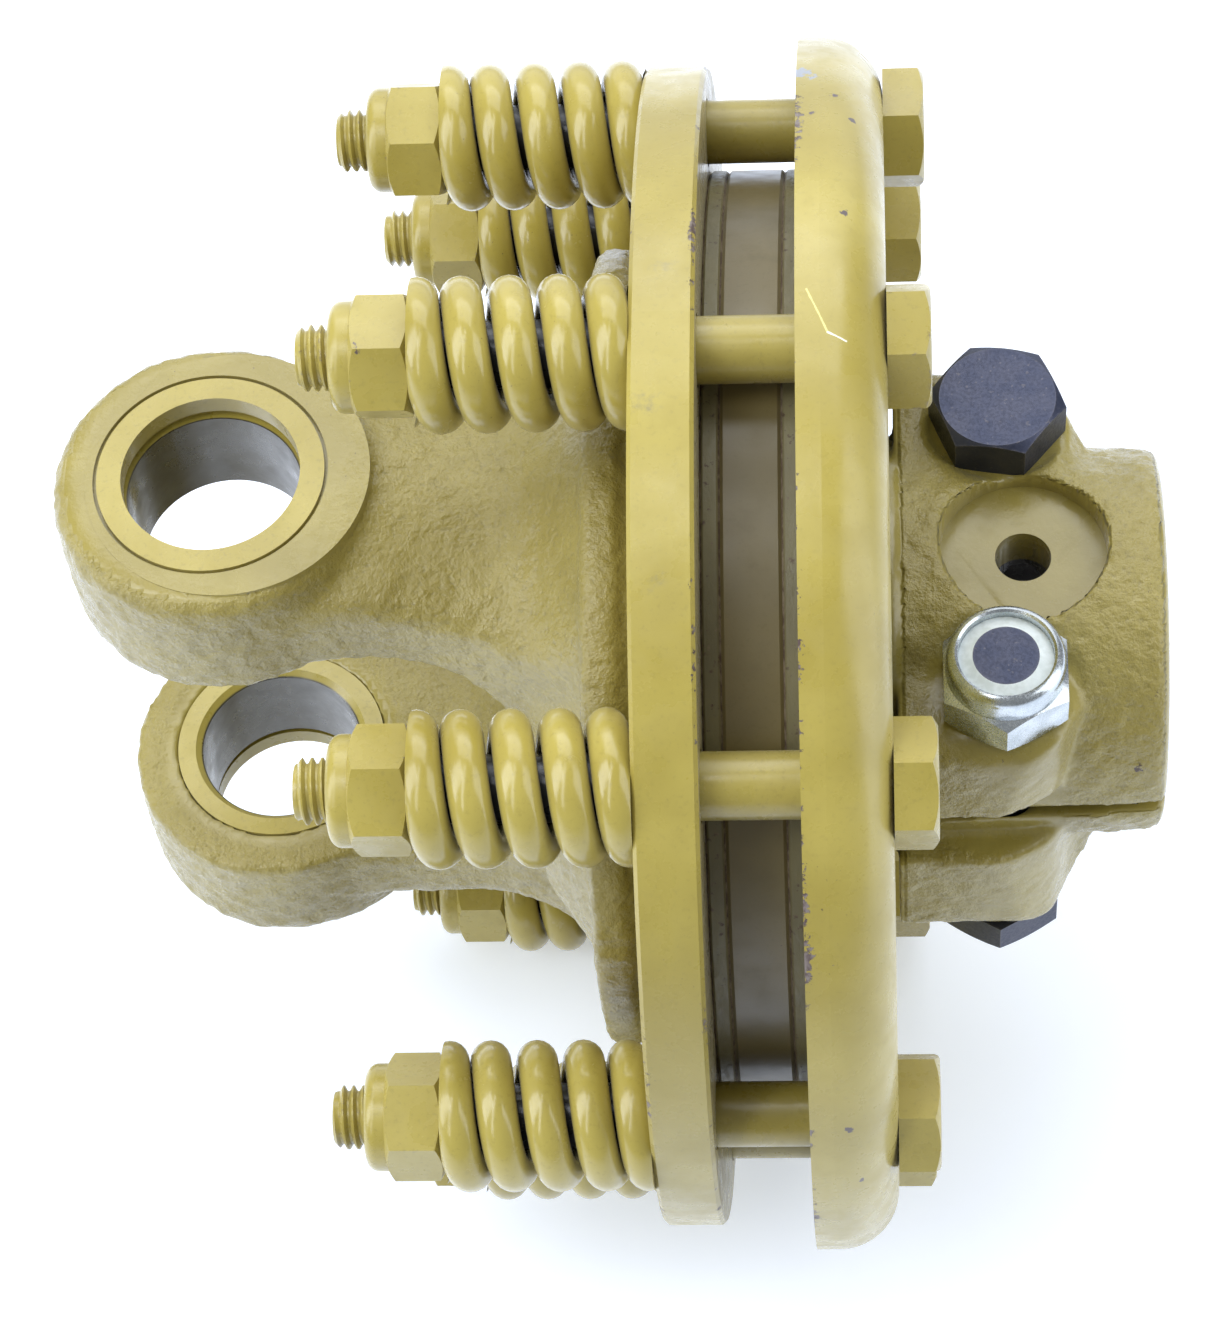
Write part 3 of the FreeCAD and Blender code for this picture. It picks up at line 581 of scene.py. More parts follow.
class Palette:
    """Every finish of the clutch, made once."""

    def __init__(self) -> None:
        """Builds the finishes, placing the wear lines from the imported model's own boxes."""
        plate_low, plate_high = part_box("yoke_plate")
        cup_low, cup_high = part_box("pressure_cup")
        ear_low, ear_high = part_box("ear_bush_near")
        spring_low, spring_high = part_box("coil_spring_1")
        plate_radius, cup_radius = plate_high.y, cup_high.y
        self.ear_x = (ear_low.x + ear_high.x) / 2
        rust, primer, steel = (0.075, 0.045, 0.030), (0.085, 0.060, 0.062), (0.27, 0.29, 0.33)
        smudge, scratch, bright_scratch = (0.245, 0.205, 0.085), (0.66, 0.60, 0.20), (0.75, 0.74, 0.60)
        self.casting = Enamel(
            Slot.CASTING, tone=(0.310, 0.252, 0.060), shade=(0.235, 0.187, 0.036), grain=1.0 * MM,
            grain_depth=0.42 * MM, peel=3.2 * MM, peel_depth=0.30 * MM, dust=0.35, chips=0.1, sheen_low=0.18,
            sheen_high=0.34, smooth_attribute=True, core_shade_radius=18.5 * MM,
            nicks=self._spots(rust, (-2.4, -9.2, 29.9, 0.9), (-2.2, -23.0, 21.2, 0.7),
                              (-4.8, -29.8, 9.7, 1.0))).build()
        self.plate = Enamel(
            Slot.PLATE, peel=6 * MM, peel_depth=0.05 * MM, chips=0.33,
            nicks=self._spots(smudge, (-75.0, 8.0, 93.0, 2.0), (-77.5, -15.0, 92.3, 2.4),
                              (-76.0, -40.0, 84.5, 1.6), softness=2.0),
            wear=(WearLine(plate_low.x, plate_radius, 1.6 * MM),
                  WearLine(plate_high.x, plate_radius, 2.0 * MM))).build()
        self.sheet = Enamel(
            Slot.SHEET, grain_depth=0.012 * MM, peel=7 * MM, peel_depth=0.05 * MM, dust=0.12, chips=0.45,
            nicks=(*self._spots(steel, (-55.6, 51.7, 82.7, 1.7), (-53.8, 49.5, 84.0, 0.9)),
                   self._line((-54.5, 0.5, 97.5), (-51.5, -6.9, 97.2), 0.17, scratch),
                   self._line((-51.5, -6.9, 97.2), (-48.9, -8.0, 96.4), 0.18, bright_scratch),
                   *self._spots(primer, (-49.0, 15.4, 95.6, 0.6), (-47.7, 37.8, 88.4, 0.6),
                                (-53.7, 38.6, 89.5, 0.5), (-50.3, 43.9, 86.7, 0.55),
                                (-50.3, -95.2, 19.6, 0.6), (-48.7, -96.6, 4.5, 0.5))),
            wear=(WearLine(cup_low.x, cup_radius, 2.4 * MM),
                  WearLine(cup_low.x, cup_radius - 6 * MM, 1.6 * MM))).build()
        self.spring = Enamel(
            Slot.SPRING, grain=0.9 * MM, grain_depth=0.012 * MM, sheen_low=0.17, sheen_high=0.28,
            painted_inner_shade=True).build()
        self.hardware = Enamel(
            Slot.HARDWARE, dust=0.20, corner_wear=0.8, shadow=(spring_low.x, spring_high.x),
            nicks=self._spots(primer, (-119.6, -4.1, 91.5, 0.8))).build()
        self.stack = Enamel(
            Slot.STACK, tone=(0.185, 0.143, 0.052), shade=(0.132, 0.102, 0.036), grain_depth=0.02 * MM,
            peel=9 * MM, dust=0.30, chips=0.15, sheen_low=0.32, sheen_high=0.46).build()
        self.bush = Enamel(
            Slot.BUSH, grain_depth=0.02 * MM, dust=0.25, chips=0.25, bare_bore_x=self.ear_x,
            bare_bore_radius=13.6 * MM).build()
        self.lining = Lining().build()
        self.nylon = Nylon().build()
        self.bronze = Metal(
            Slot.BRONZE, tone=(0.42, 0.25, 0.10), stain=(0.28, 0.16, 0.07), metallic=0.9, sheen_low=0.30,
            sheen_high=0.45, grain=1.2 * MM, grain_depth=0.02 * MM).build()
        self.black = Metal(
            Slot.BLACK, tone=(0.034, 0.040, 0.072), stain=(0.048, 0.052, 0.082), metallic=0.60, sheen_low=0.30,
            sheen_high=0.46, grain=0.5 * MM, grain_depth=0.020 * MM, fleck=0.10).build()
        self.zinc = Metal(
            Slot.ZINC, tone=(0.60, 0.64, 0.67), stain=(0.44, 0.48, 0.50), metallic=0.97, sheen_low=0.16,
            sheen_high=0.32, grain=0.4 * MM, grain_depth=0.006 * MM).build()

    @staticmethod
    def _spots(tone: Colour, *places: tuple[float, float, float, float],
               softness: float = 0.25) -> tuple[Nick, ...]:
        """Knocked spots in the paint.

        Args:
            tone: What shows through.
            places: Each spot's X, Y and Z and its radius, in millimetres.
            softness: How gently the spots fade at their edges.

        Returns:
            The spots.
        """
        return tuple(Nick(Vector((x, y, z)) * MM, radius * MM, tone, softness=softness)
                     for x, y, z, radius in places)

    @staticmethod
    def _line(start: Colour, end: Colour, width: float, tone: Colour) -> Nick:
        """A scratch in the paint.

        Args:
            start: One end in millimetres.
            end: The other end in millimetres.
            width: Half the scratch's width in millimetres.
            tone: What shows in it.

        Returns:
            The scratch.
        """
        return Nick(Vector(start) * MM, width * MM, tone, Vector(end) * MM, 0.35)


def dress(piece: bpy.types.Object, material: bpy.types.Material) -> None:
    """Puts one material on every face of a piece.

    Args:
        piece: The object to dress.
        material: Its finish.
    """
    if not piece.material_slots:
        piece.data.materials.append(material)
    for holder in piece.material_slots:
        holder.material = material


def merged_copy(node: str) -> bmesh.types.BMesh:
    """A copy of a CAD node's mesh with its loose triangles joined.

    Args:
        node: The CAD node's name.

    Returns:
        The joined mesh.
    """
    mesh = bmesh.new()
    mesh.from_mesh(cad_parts[node].data)
    bmesh.ops.remove_doubles(mesh, verts=mesh.verts, dist=0.002 * MM)
    return mesh


def trim(mesh: bmesh.types.BMesh, point: Triple, outward: Triple) -> None:
    """Cuts away what lies past a plane.

    Args:
        mesh: The mesh to cut.
        point: A point on the plane.
        outward: The plane's normal, on the side that goes.
    """
    bmesh.ops.bisect_plane(mesh, geom=[*mesh.verts, *mesh.edges, *mesh.faces], dist=1e-7, plane_co=point,
                           plane_no=outward, clear_outer=True, clear_inner=False)


def close(mesh: bmesh.types.BMesh) -> None:
    """Fills every open end of a mesh."""
    bmesh.ops.holes_fill(mesh, edges=[edge for edge in mesh.edges if edge.is_boundary], sides=0)


def finish_piece(mesh: bmesh.types.BMesh, name: str, body: Body, material: bpy.types.Material,
                 smooth_angle: float = 35.0) -> bpy.types.Object:
    """Turns a mesh into a dressed piece that rides on a body.

    Args:
        mesh: The mesh, in place, in metres. It is freed.
        name: The piece's name.
        body: The body it rides on.
        material: Its finish.
        smooth_angle: Edges sharper than this stay sharp, in degrees.

    Returns:
        The new object.
    """
    for face in mesh.faces:
        face.smooth = True
    for edge in mesh.edges:
        edge.smooth = len(edge.link_faces) != 2 or edge.calc_face_angle(0.0) < math.radians(smooth_angle)
    data = bpy.data.meshes.new(name)
    mesh.to_mesh(data)
    mesh.free()
    piece = bpy.data.objects.new(name, data)
    bpy.context.scene.collection.objects.link(piece)
    dress(piece, material)
    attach(piece, body.value)
    LOG.info("%s: %d faces on %s", name, len(data.polygons), body.value)
    return piece


def spun_profile(points: list[Point], steps: int) -> bmesh.types.BMesh:
    """Turns an open profile once about the X axis into a closed skin.

    Args:
        points: Profile points as distance along X and radius.
        steps: Faces round the axis.

    Returns:
        The turned mesh.
    """
    mesh = bmesh.new()
    verts = [mesh.verts.new((x, radius, 0.0)) for x, radius in points]
    edges = [mesh.edges.new(pair) for pair in zip(verts, verts[1:])]
    bmesh.ops.spin(mesh, geom=verts + edges, cent=(0, 0, 0), axis=(1, 0, 0), dvec=(0, 0, 0), angle=TURN,
                   steps=steps, use_merge=True, use_duplicate=False)
    bmesh.ops.remove_doubles(mesh, verts=mesh.verts, dist=0.001 * MM)
    bmesh.ops.recalc_face_normals(mesh, faces=mesh.faces)
    return mesh


@dataclass
class SpringBank:
    """The eight compression springs round the yoke plate, closed and ground at both ends."""

    palette: Palette
    count: int = 8
    wire_radius: float = 3.15 * MM
    coil_radius: float = 8.45 * MM
    turns: float = 5.5
    end_turns: float = 1.5
    end_pitch: float = 6.38 * MM
    ground_off: float = 2.5 * MM
    tip_degrees: float = 211.0
    wire_sides: int = 20
    steps_per_turn: int = 48
    travel: float = 0.7 * MM

    def build(self) -> list[bpy.types.Object]:
        """Makes and places every spring.

        Returns:
            The springs.
        """
        pieces = []
        for number in range(1, self.count + 1):
            node = f"coil_spring_{number}"
            centre, left, right = self._seat(number)
            mesh = self._wire(right - left)
            # painted shade: vertices on the inside of the coil are flagged, and the spring material colours
            # them near black as the shade between the coils
            layer = mesh.verts.layers.float.new("inner")
            inner_radius = self.coil_radius - 0.35 * self.wire_radius
            for vert in mesh.verts:
                vert[layer] = 1.0 if math.hypot(vert.co.y, vert.co.z) < inner_radius else 0.0
            bmesh.ops.translate(mesh, vec=Vector((left, centre.y, centre.z)), verts=mesh.verts)
            piece = finish_piece(mesh, f"spring_{number}", Body.YOKE, self.palette.spring)
            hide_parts(node)
            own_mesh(piece)
            pieces.append(piece)
        return pieces

    def _seat(self, number: int) -> tuple[Vector, float, float]:
        """Where one spring stands.

        Args:
            number: The spring's number.

        Returns:
            A point on its axis and the X of its two ends.
        """
        _, nut_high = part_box(f"spring_nut_{number}")
        bolt_low, bolt_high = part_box(f"spring_bolt_{number}")
        plate_low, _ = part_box("yoke_plate")
        return (bolt_low + bolt_high) / 2, nut_high.x, plate_low.x

    def _wire(self, length: float) -> bmesh.types.BMesh:
        """Winds one spring from X = 0 to its length.

        Args:
            length: The spring's length between its ground faces.

        Returns:
            The wound and ground wire.
        """
        mesh = bmesh.new()
        ring = bmesh.ops.create_circle(mesh, cap_ends=True, radius=self.wire_radius,
                                       segments=self.wire_sides)["verts"]
        start = math.radians(self.tip_degrees)
        bmesh.ops.rotate(mesh, cent=(0, 0, 0), matrix=Matrix.Rotation(start, 3, "X"), verts=ring)
        arm = Vector((0, math.cos(start), math.sin(start))) * self.coil_radius
        bmesh.ops.translate(mesh, vec=arm + Vector((-self.ground_off, 0, 0)), verts=ring)
        open_turns = self.turns - 2 * self.end_turns
        open_pitch = (length + 2 * self.ground_off - 2 * self.end_turns * self.end_pitch) / open_turns
        loop: list = list(ring) + list(mesh.edges)
        bmesh.ops.delete(mesh, geom=list(mesh.faces), context="FACES_ONLY")
        closed_end = (self.end_turns, self.end_pitch)
        for turns, pitch in (closed_end, (open_turns, open_pitch), closed_end):
            steps = round(turns * self.steps_per_turn)
            done = bmesh.ops.spin(mesh, geom=loop, cent=(0, 0, 0), axis=(1, 0, 0),
                                  dvec=(pitch * turns / steps, 0, 0), angle=TURN * turns, steps=steps,
                                  use_merge=False, use_duplicate=False)
            loop = done["geom_last"]
        trim(mesh, (0, 0, 0), (-1, 0, 0))
        trim(mesh, (length, 0, 0), (1, 0, 0))
        close(mesh)
        bmesh.ops.recalc_face_normals(mesh, faces=mesh.faces)
        return mesh


@dataclass
class ThreadedTip:
    """The threaded end of a bolt, pointing along +X from X = 0."""

    crest_radius: float
    pitch: float
    length: float
    depth: float
    chamfer: float
    steps: int = 36

    def build(self) -> bmesh.types.BMesh:
        """Cuts the thread as one turned ridge.

        Returns:
            The tip's skin, open at X = 0.
        """
        mesh = bmesh.new()
        crest, root = self.crest_radius, self.crest_radius - self.depth
        shape = ((0.0, root), (0.10, root), (0.42, crest), (0.58, crest), (0.90, root), (1.0, root))
        start = -2 * self.pitch
        verts = [mesh.verts.new((start + share * self.pitch, radius, 0.0)) for share, radius in shape]
        edges = [mesh.edges.new(pair) for pair in zip(verts, verts[1:])]
        turns = math.ceil(self.length / self.pitch) + 3
        bmesh.ops.spin(mesh, geom=verts + edges, cent=(0, 0, 0), axis=(1, 0, 0),
                       dvec=(self.pitch / self.steps, 0, 0), angle=TURN * turns, steps=self.steps * turns,
                       use_merge=False, use_duplicate=False)
        bmesh.ops.remove_doubles(mesh, verts=mesh.verts, dist=0.01 * MM)
        trim(mesh, (0, 0, 0), (-1, 0, 0))
        trim(mesh, (self.length, 0, 0), (1, 0, 0))
        for vert in mesh.verts:
            radius = math.hypot(vert.co.y, vert.co.z)
            limit = crest - self.chamfer + (self.length - vert.co.x)
            if radius > limit:
                vert.co.y *= limit / radius
                vert.co.z *= limit / radius
        end = self.length - 0.01 * MM
        tip = [edge for edge in mesh.edges if edge.is_boundary and min(vert.co.x for vert in edge.verts) > end]
        bmesh.ops.holes_fill(mesh, edges=tip, sides=0)
        bmesh.ops.recalc_face_normals(mesh, faces=mesh.faces)
        return mesh


def add_mesh(base: bmesh.types.BMesh, extra: bmesh.types.BMesh) -> None:
    """Adds one mesh to another and frees the one added.

    Args:
        base: The mesh that grows.
        extra: The mesh that is added.
    """
    data = bpy.data.meshes.new("joined")
    extra.to_mesh(data)
    extra.free()
    base.from_mesh(data)
    bpy.data.meshes.remove(data)


@dataclass
class SpringBolts:
    """The eight long bolts that hold the clutch together, with threads that show past the nuts."""

    palette: Palette
    count: int = 8
    tip_radius: float = 4.9 * MM
    pitch: float = 1.5 * MM
    thread_depth: float = 0.85 * MM

    def build(self) -> list[bpy.types.Object]:
        """Makes every bolt from its CAD head and shank and a new threaded end.

        Returns:
            The bolts.
        """
        pieces = []
        for number in range(1, self.count + 1):
            node = f"spring_bolt_{number}"
            low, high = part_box(node)
            centre = (low + high) / 2
            nut_low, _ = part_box(f"spring_nut_{number}")
            cut = nut_low.x + 1.0 * MM
            mesh = merged_copy(node)
            trim(mesh, (cut, 0, 0), (-1, 0, 0))
            close(mesh)
            tip = ThreadedTip(self.tip_radius, self.pitch, cut - low.x, self.thread_depth, 1.0 * MM).build()
            turn = Matrix.Rotation(math.pi, 4, "Z") @ Matrix.Rotation(number * 1.7, 4, "X")
            place = Matrix.Translation((cut, centre.y, centre.z)) @ turn
            bmesh.ops.transform(tip, matrix=place, verts=tip.verts)
            add_mesh(mesh, tip)
            piece = finish_piece(mesh, f"long_bolt_{number}", Body.CLAMPING,
                                 self.palette.hardware)
            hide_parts(node)
            pieces.append(piece)
        return pieces


@dataclass
class ClampFasteners:
    """The two clamp bolts and their zinc locking nuts with nylon rings."""

    palette: Palette
    collar_radius: float = 9.15 * MM
    hex_height: float = 7.9 * MM
    lip_inner_radius: float = 7.3 * MM
    ring_inner_radius: float = 5.1 * MM

    def build(self) -> list[bpy.types.Object]:
        """Makes the two nuts and dresses the two bolts.

        Returns:
            The new pieces.
        """
        pieces = []
        for name, side in (("upper", -1), ("lower", 1)):
            low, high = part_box(f"clamp_nut_{name}")
            seat = low.z if side > 0 else high.z
            height = high.z - low.z
            centre = (low + high) / 2
            upright = Matrix.Rotation(-side * math.pi / 2, 4, "Y")
            place = Matrix.Translation((centre.x, centre.y, seat)) @ upright
            nut = merged_copy(f"clamp_nut_{name}")
            trim(nut, (0, 0, seat + side * self.hex_height), (0, 0, side))
            collar = spun_profile(self._collar(height), 72)
            bmesh.ops.transform(collar, matrix=place, verts=collar.verts)
            add_mesh(nut, collar)
            shell = finish_piece(nut, f"locking_nut_{name}", Body.HUB, self.palette.zinc)
            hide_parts(f"clamp_nut_{name}")
            ring = spun_profile(self._ring(height), 72)
            bmesh.ops.transform(ring, matrix=place, verts=ring.verts)
            pieces += [shell, finish_piece(ring, f"nylon_ring_{name}", Body.HUB,
                                           self.palette.nylon)]
            dress(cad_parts[f"clamp_bolt_{name}"], self.palette.black)
        return pieces

    def _collar(self, height: float) -> list[Point]:
        """Profile of the rolled collar.

        Args:
            height: The nut's whole height.

        Returns:
            The profile, from the hexagon up over the lip and down inside.
        """
        outer, inner = self.collar_radius, self.lip_inner_radius
        return [(self.hex_height - 0.8 * MM, outer + 0.15 * MM), (self.hex_height + 0.2 * MM, outer),
                (height - 1.9 * MM, outer), (height - 1.1 * MM, outer - 0.12 * MM),
                (height - 0.45 * MM, outer - 0.50 * MM), (height - 0.1 * MM, outer - 1.05 * MM),
                (height, inner + 0.50 * MM), (height - 0.25 * MM, inner + 0.12 * MM),
                (height - 0.7 * MM, inner), (height - 2.5 * MM, inner)]

    def _ring(self, height: float) -> list[Point]:
        """Profile of the nylon ring.

        Args:
            height: The nut's whole height.

        Returns:
            The profile, from the lip's inside to the thread.
        """
        outer, inner = self.lip_inner_radius, self.ring_inner_radius
        return [(height - 2.5 * MM, outer), (height - 1.45 * MM, outer - 0.02 * MM),
                (height - 1.35 * MM, outer - 0.2 * MM), (height - 1.20 * MM, inner + 0.9 * MM),
                (height - 0.80 * MM, inner + 0.1 * MM), (height - 0.79 * MM, inner)]


def loose_object(mesh: bmesh.types.BMesh, name: str) -> bpy.types.Object:
    """Puts a mesh into a short-lived object.

    Args:
        mesh: The mesh. It is freed.
        name: The object's name.

    Returns:
        The object.
    """
    data = bpy.data.meshes.new(name)
    mesh.to_mesh(data)
    mesh.free()
    holder = bpy.data.objects.new(name, data)
    bpy.context.scene.collection.objects.link(holder)
    return holder


@dataclass(frozen=True)
class RoundTool:
    """A round shape that stands along Z: a pocket or a pad."""

    x: float
    radius: float
    start: float
    end: float
    pad: bool = False

    def mesh(self) -> bmesh.types.BMesh:
        """Makes the shape.

        Returns:
            A closed cylinder.
        """
        mesh = bmesh.new()
        bmesh.ops.create_cone(mesh, cap_ends=True, segments=128, radius1=self.radius, radius2=self.radius,
                              depth=abs(self.end - self.start))
        bmesh.ops.translate(mesh, vec=Vector((self.x, 0.0, (self.start + self.end) / 2)), verts=mesh.verts)
        return mesh


def share_inside(distance: float, edge: float, fade: float, most: float = 1.0) -> float:
    """How far inside an edge a point lies.

    Args:
        distance: The point's distance from the middle.
        edge: The edge's distance from the middle.
        fade: Width of the band inside the edge over which the share grows.
        most: The largest share.

    Returns:
        0 outside the edge, growing to the largest share inside it.
    """
    return min(max((edge - distance) / fade, 0.0), most)


@dataclass
class Castings:
    """The flange yoke and the clamp hub, as rough sand castings with machined faces."""

    palette: Palette
    yoke_grain: float = 1.0 * MM
    hub_grain: float = 0.75 * MM
    ripple: float = 0.30 * MM
    swell: float = 0.20 * MM
    sharp_degrees: float = 78.0
    smoothing_rounds: int = 5
    pad_offset: float = 2.6 * MM
    pad_radius: float = 22.0 * MM
    pad_face: float = 53.51 * MM
    bush_radius: float = 17.62 * MM
    groove_radius: float = 18.15 * MM
    groove_floor: float = 52.7 * MM
    spot_x: float = -22.2 * MM
    spot_z: float = 25.35 * MM
    spot_radius: float = 13.15 * MM
    hole_radius: float = 4.4 * MM
    clamp_bolt_x: float = -25.7 * MM
    clamp_bolt_y: float = 24.0 * MM

    def build(self) -> list[bpy.types.Object]:
        """Makes both castings.

        Returns:
            The castings.
        """
        ear_x = self.palette.ear_x
        shapes = []
        for side in (1, -1):
            shapes += [RoundTool(ear_x + self.pad_offset, self.pad_radius, side * 38.0 * MM,
                                 side * self.pad_face, True),
                       RoundTool(ear_x, self.bush_radius, side * 34.0 * MM, side * 57.0 * MM),
                       RoundTool(ear_x, self.groove_radius, side * self.groove_floor, side * 56.0 * MM)]
        pockets = [RoundTool(self.spot_x, 8.0 * MM, 21.0 * MM, 25.5 * MM, True),
                   RoundTool(self.spot_x, self.spot_radius, self.spot_z, 50.0 * MM),
                   RoundTool(self.spot_x, self.hole_radius, 12.0 * MM, 30.0 * MM)]
        return [self._cast("flange_yoke", "yoke_casting", Body.YOKE, self.yoke_grain, self._yoke_machined,
                           shapes),
                self._cast("clamp_hub", "hub_casting", Body.HUB, self.hub_grain, self._hub_machined, pockets)]

    def _cast(self, node: str, name: str, body: Body, grain: float, machined: Callable[[Vector], float],
              tools: list[RoundTool]) -> bpy.types.Object:
        """Makes one casting from its CAD node.

        Args:
            node: The CAD node.
            name: The new piece's name.
            body: The body it rides on.
            grain: Size of the skin's cells.
            machined: Says how machined a point is, from 0 to 1.
            tools: Milled shapes, made after the casting is roughened.

        Returns:
            The casting.
        """
        rough = loose_object(merged_copy(node), f"{name}_rough")
        remesh = rough.modifiers.new("skin", "REMESH")
        remesh.mode = "VOXEL"
        remesh.voxel_size = grain
        bpy.context.view_layer.update()
        skin = bpy.data.meshes.new_from_object(rough.evaluated_get(bpy.context.evaluated_depsgraph_get()))
        bpy.data.objects.remove(rough)
        mesh = bmesh.new()
        mesh.from_mesh(skin)
        rough_verts = [vert for vert in mesh.verts if machined(vert.co) < 0.95]
        for _ in range(self.smoothing_rounds):
            bmesh.ops.smooth_vert(mesh, verts=rough_verts, factor=0.5, use_axis_x=True, use_axis_y=True,
                                  use_axis_z=True)
        mesh.normal_update()
        for vert in rough_verts:
            wave = noise.fractal(vert.co / (2.3 * MM), 0.7, 2.0, 3) * self.ripple
            wave += noise.noise(vert.co / (11.0 * MM)) * self.swell
            vert.co += vert.normal * wave * (1 - machined(vert.co))
        mesh = self._mill(mesh, tools)
        layer = mesh.verts.layers.float.new("machined")
        for vert in mesh.verts:
            vert[layer] = machined(vert.co)
        piece = finish_piece(mesh, name, body, self.palette.casting, self.sharp_degrees)
        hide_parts(node)
        return piece

    def _mill(self, mesh: bmesh.types.BMesh, tools: list[RoundTool]) -> bmesh.types.BMesh:
        """Gives a skin its crisp pads and pockets.

        Args:
            mesh: The closed skin. It is freed.
            tools: The pads and pockets, in order.

        Returns:
            The milled skin.
        """
        body = loose_object(mesh, "milled")
        shapes = [loose_object(tool.mesh(), "tool") for tool in tools]
        for tool, shape in zip(tools, shapes):
            step = body.modifiers.new("mill", "BOOLEAN")
            step.operation = "UNION" if tool.pad else "DIFFERENCE"
            step.solver = "MANIFOLD"
            step.object = shape
        bpy.context.view_layer.update()
        skin = bpy.data.meshes.new_from_object(body.evaluated_get(bpy.context.evaluated_depsgraph_get()))
        for spent in (body, *shapes):
            bpy.data.objects.remove(spent)
        milled = bmesh.new()
        milled.from_mesh(skin)
        return milled

    def _yoke_machined(self, point: Vector) -> float:
        """How machined the yoke is at a point: its ear bores and its mounting face.

        Args:
            point: A point on the yoke.

        Returns:
            1 where machined, 0 where as cast.
        """
        bore = math.hypot(point.x - self.palette.ear_x, point.y)
        if point.x > -80.6 * MM:
            return 1.0
        share = share_inside(bore, 21.0 * MM, 2.4 * MM)
        if abs(point.z) > 53.0 * MM:
            share = max(share, share_inside(bore, 26.0 * MM, 3.0 * MM, 0.75))
        return share

    def _hub_machined(self, point: Vector) -> float:
        """How machined the hub is at a point: its bore, mouth, seats, spot face and nose.

        Args:
            point: A point on the hub.

        Returns:
            1 where machined, 0 where as cast.
        """
        radius = math.hypot(point.y, point.z)
        if radius < 21.0 * MM or point.x < -41.0 * MM or point.x > -0.8 * MM:
            return 1.0
        spot = math.hypot(point.x - self.spot_x, point.y)
        if spot < 13.3 * MM and point.z > 8 * MM:
            return 1.0
        if abs(point.z + 1.5 * MM) < 1.9 * MM and abs(point.y) > 14 * MM:
            return 0.8
        seat = math.hypot(point.x - self.clamp_bolt_x, abs(point.y) - self.clamp_bolt_y)
        return share_inside(seat, 13.6 * MM, 3.0 * MM, 0.9)


@dataclass
class Stack:
    """The plates, pressing, linings, bushes and nuts that keep their CAD shape."""

    palette: Palette

    def build(self) -> list[str]:
        """Dresses every carried-over node.

        Returns:
            The names of the dressed nodes.
        """
        finishes = {
            "yoke_plate": self.palette.plate, "pressure_cup": self.palette.sheet,
            "drive_plate": self.palette.stack, "pressure_ring": self.palette.stack,
            "friction_lining_yoke_side": self.palette.lining, "friction_lining_cup_side": self.palette.lining,
            "hub_bearing_bush": self.palette.bronze, "ear_bush_near": self.palette.bush,
            "ear_bush_far": self.palette.bush}
        finishes.update({f"spring_nut_{number}": self.palette.hardware for number in range(1, 9)})
        for node, material in finishes.items():
            dress(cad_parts[node], material)
        return sorted(finishes)


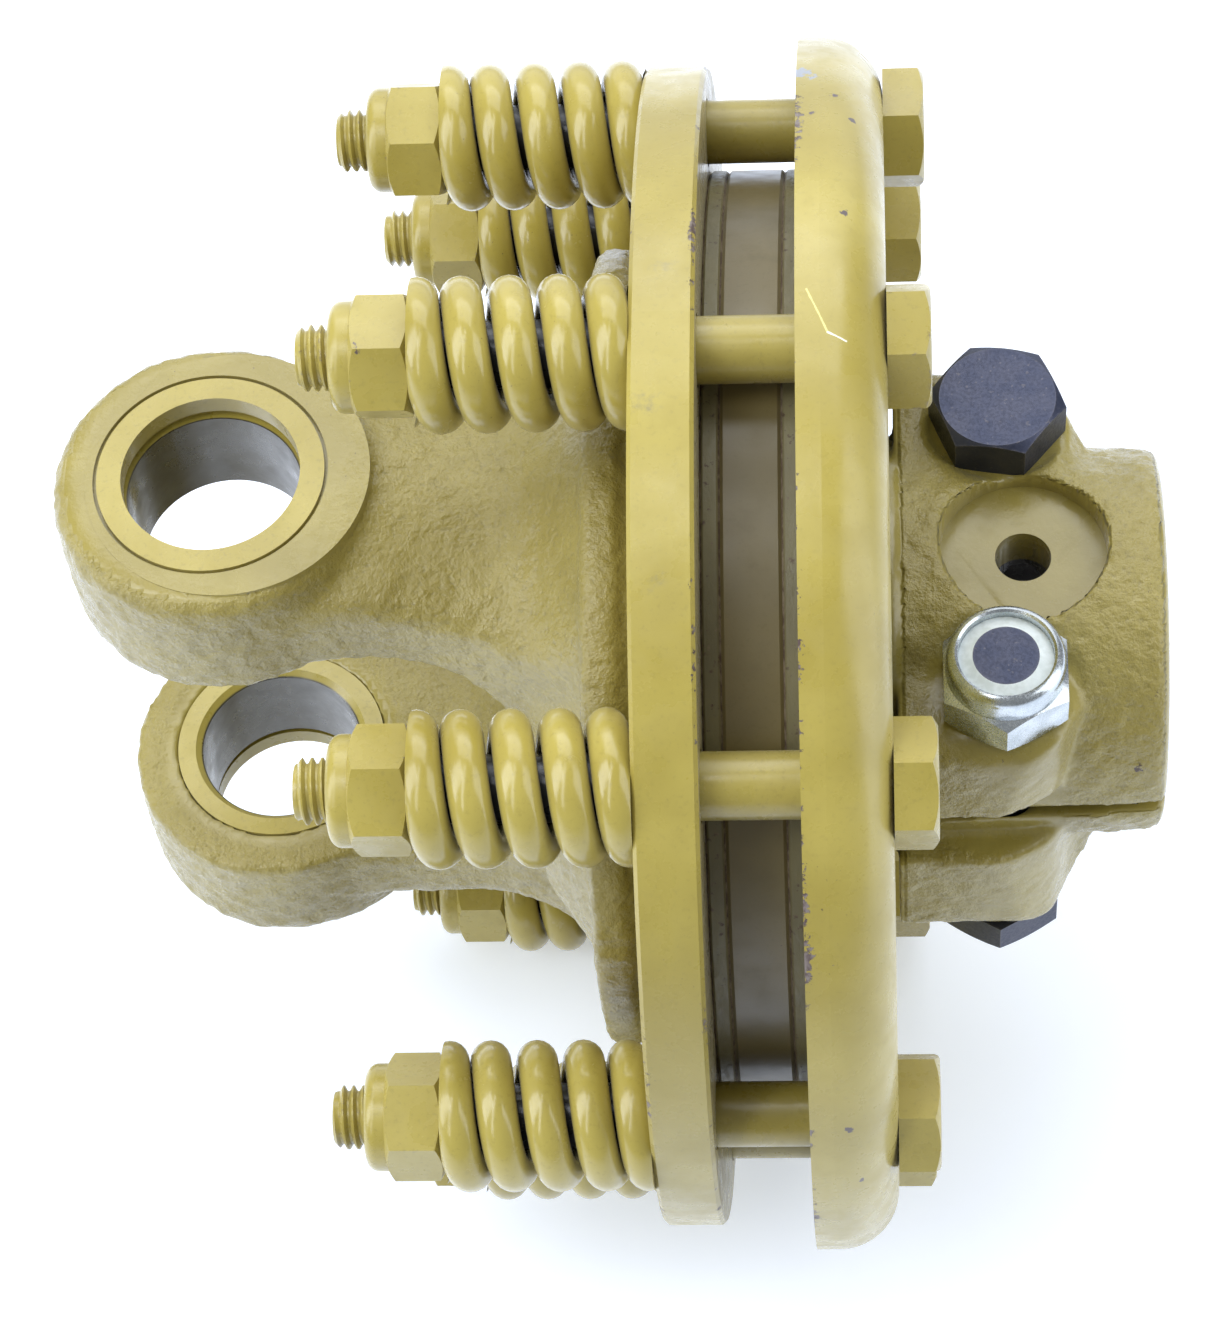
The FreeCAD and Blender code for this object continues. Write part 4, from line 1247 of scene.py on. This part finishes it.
@dataclass
class Studio:
    """A white table, soft white light and the camera."""

    azimuth: float = math.radians(7.27)
    elevation: float = math.radians(58.97)
    roll: float = math.radians(-7.13)
    distance: float = 0.68504
    focus: Vector = Vector((-0.08954, 0.0, 0.0))
    rise: float = -0.00244
    focal_length: float = 114.2176133

    def build(self) -> None:
        """Puts up the floor, the lights and the camera."""
        scene = bpy.context.scene
        scene.view_settings.view_transform = "Standard"
        self._floor()
        self._sky()
        up, back = self._camera()
        left = Vector((-1, 0, 0))
        self._lamp("back_wall", self.focus + up * 0.95 - back * 0.05, (1.5, 0.9), 5.0)
        self._lamp("left_wall", self.focus + left * 0.70 + back * 0.60 + up * 0.15, (0.42, 1.2), 8.2)
        self._lamp("left_strip", self.focus + left * 0.30 + back * 0.75 + up * 0.05, (0.13, 1.1), 2.2)
        self._lamp("right_wall", self.focus - left * 0.85 + back * 0.42 + up * 0.10, (0.6, 1.2), 6.2)
        self._lamp("top_box", self.focus + up * 0.80 + back * 0.42, (1.0, 0.6), 5.5)

    def _floor(self) -> None:
        """Makes the pale floor under the lowest point."""
        mesh = bmesh.new()
        bmesh.ops.create_grid(mesh, x_segments=1, y_segments=1, size=3.0)
        bmesh.ops.translate(mesh, vec=Vector((0, 0, CAD_BOX[0][2] - 0.0002)), verts=mesh.verts)
        data = bpy.data.meshes.new("table")
        mesh.to_mesh(data)
        mesh.free()
        table = bpy.data.objects.new("table", data)
        bpy.context.scene.collection.objects.link(table)
        board = NodeBoard("table_white")
        tone = board.blend(board.speckle(0.4, 2.0), (0.80, 0.855, 0.97), (0.82, 0.875, 0.99))
        board.feed(board.shader, "Base Color", tone)
        board.feed(board.shader, "Roughness", 0.55)
        board.feed(board.shader, "Emission Color", (0.92, 0.95, 1.0))
        board.feed(board.shader, "Emission Strength", 0.27)
        dress(table, board.material)

    def _sky(self) -> None:
        """Surrounds the scene with even white light."""
        world = bpy.data.worlds.new("white_room")
        world.use_nodes = True
        back = world.node_tree.nodes["Background"]
        back.inputs["Color"].default_value = (0.93, 0.96, 1.0, 1.0)
        back.inputs["Strength"].default_value = 0.34
        bpy.context.scene.world = world

    def _lamp(self, name: str, place: Vector, size: Point, power: float) -> None:
        """Adds one soft box aimed at the clutch.

        Args:
            name: The lamp's name.
            place: Where it stands.
            size: Its width and height in metres.
            power: Its power in watts.
        """
        light = bpy.data.lights.new(name, "AREA")
        light.energy = power
        light.color = (0.93, 0.96, 1.0)
        light.shape = "RECTANGLE"
        light.size, light.size_y = size
        lamp = bpy.data.objects.new(name, light)
        lamp.location = place
        lamp.rotation_euler = (self.focus - place).to_track_quat("-Z", "Y").to_euler()
        bpy.context.scene.collection.objects.link(lamp)

    def _camera(self) -> tuple[Vector, Vector]:
        """Sets up the camera.

        Returns:
            The view's upward direction and the direction back to the camera.
        """
        level = math.cos(self.elevation)
        back = Vector((math.sin(self.azimuth) * level, -math.cos(self.azimuth) * level,
                       math.sin(self.elevation)))
        right = Vector((math.cos(self.azimuth), math.sin(self.azimuth), 0))
        up = back.cross(right)
        rolled_right = right * math.cos(self.roll) + up * math.sin(self.roll)
        rolled_up = up * math.cos(self.roll) - right * math.sin(self.roll)
        lens = bpy.data.cameras.new("view")
        lens.sensor_width = 36.0
        lens.lens = self.focal_length
        camera = bpy.data.objects.new("view", lens)
        place = self.focus + up * self.rise + back * self.distance
        camera.matrix_world = Matrix((
            (rolled_right.x, rolled_up.x, back.x, place.x), (rolled_right.y, rolled_up.y, back.y, place.y),
            (rolled_right.z, rolled_up.z, back.z, place.z), (0, 0, 0, 1)))
        bpy.context.scene.collection.objects.link(camera)
        bpy.context.scene.camera = camera
        return rolled_up, back


def main() -> None:
    """Builds the clutch's looks in order and reports each piece."""
    logging.basicConfig(level=logging.INFO, format="%(name)s %(message)s")
    Studio().build()
    palette = Palette()
    for node in Stack(palette).build():
        LOG.info("%s dressed", node)
    Castings(palette).build()
    SpringBank(palette).build()
    SpringBolts(palette).build()
    ClampFasteners(palette).build()


if __name__ == "__main__":
    main()
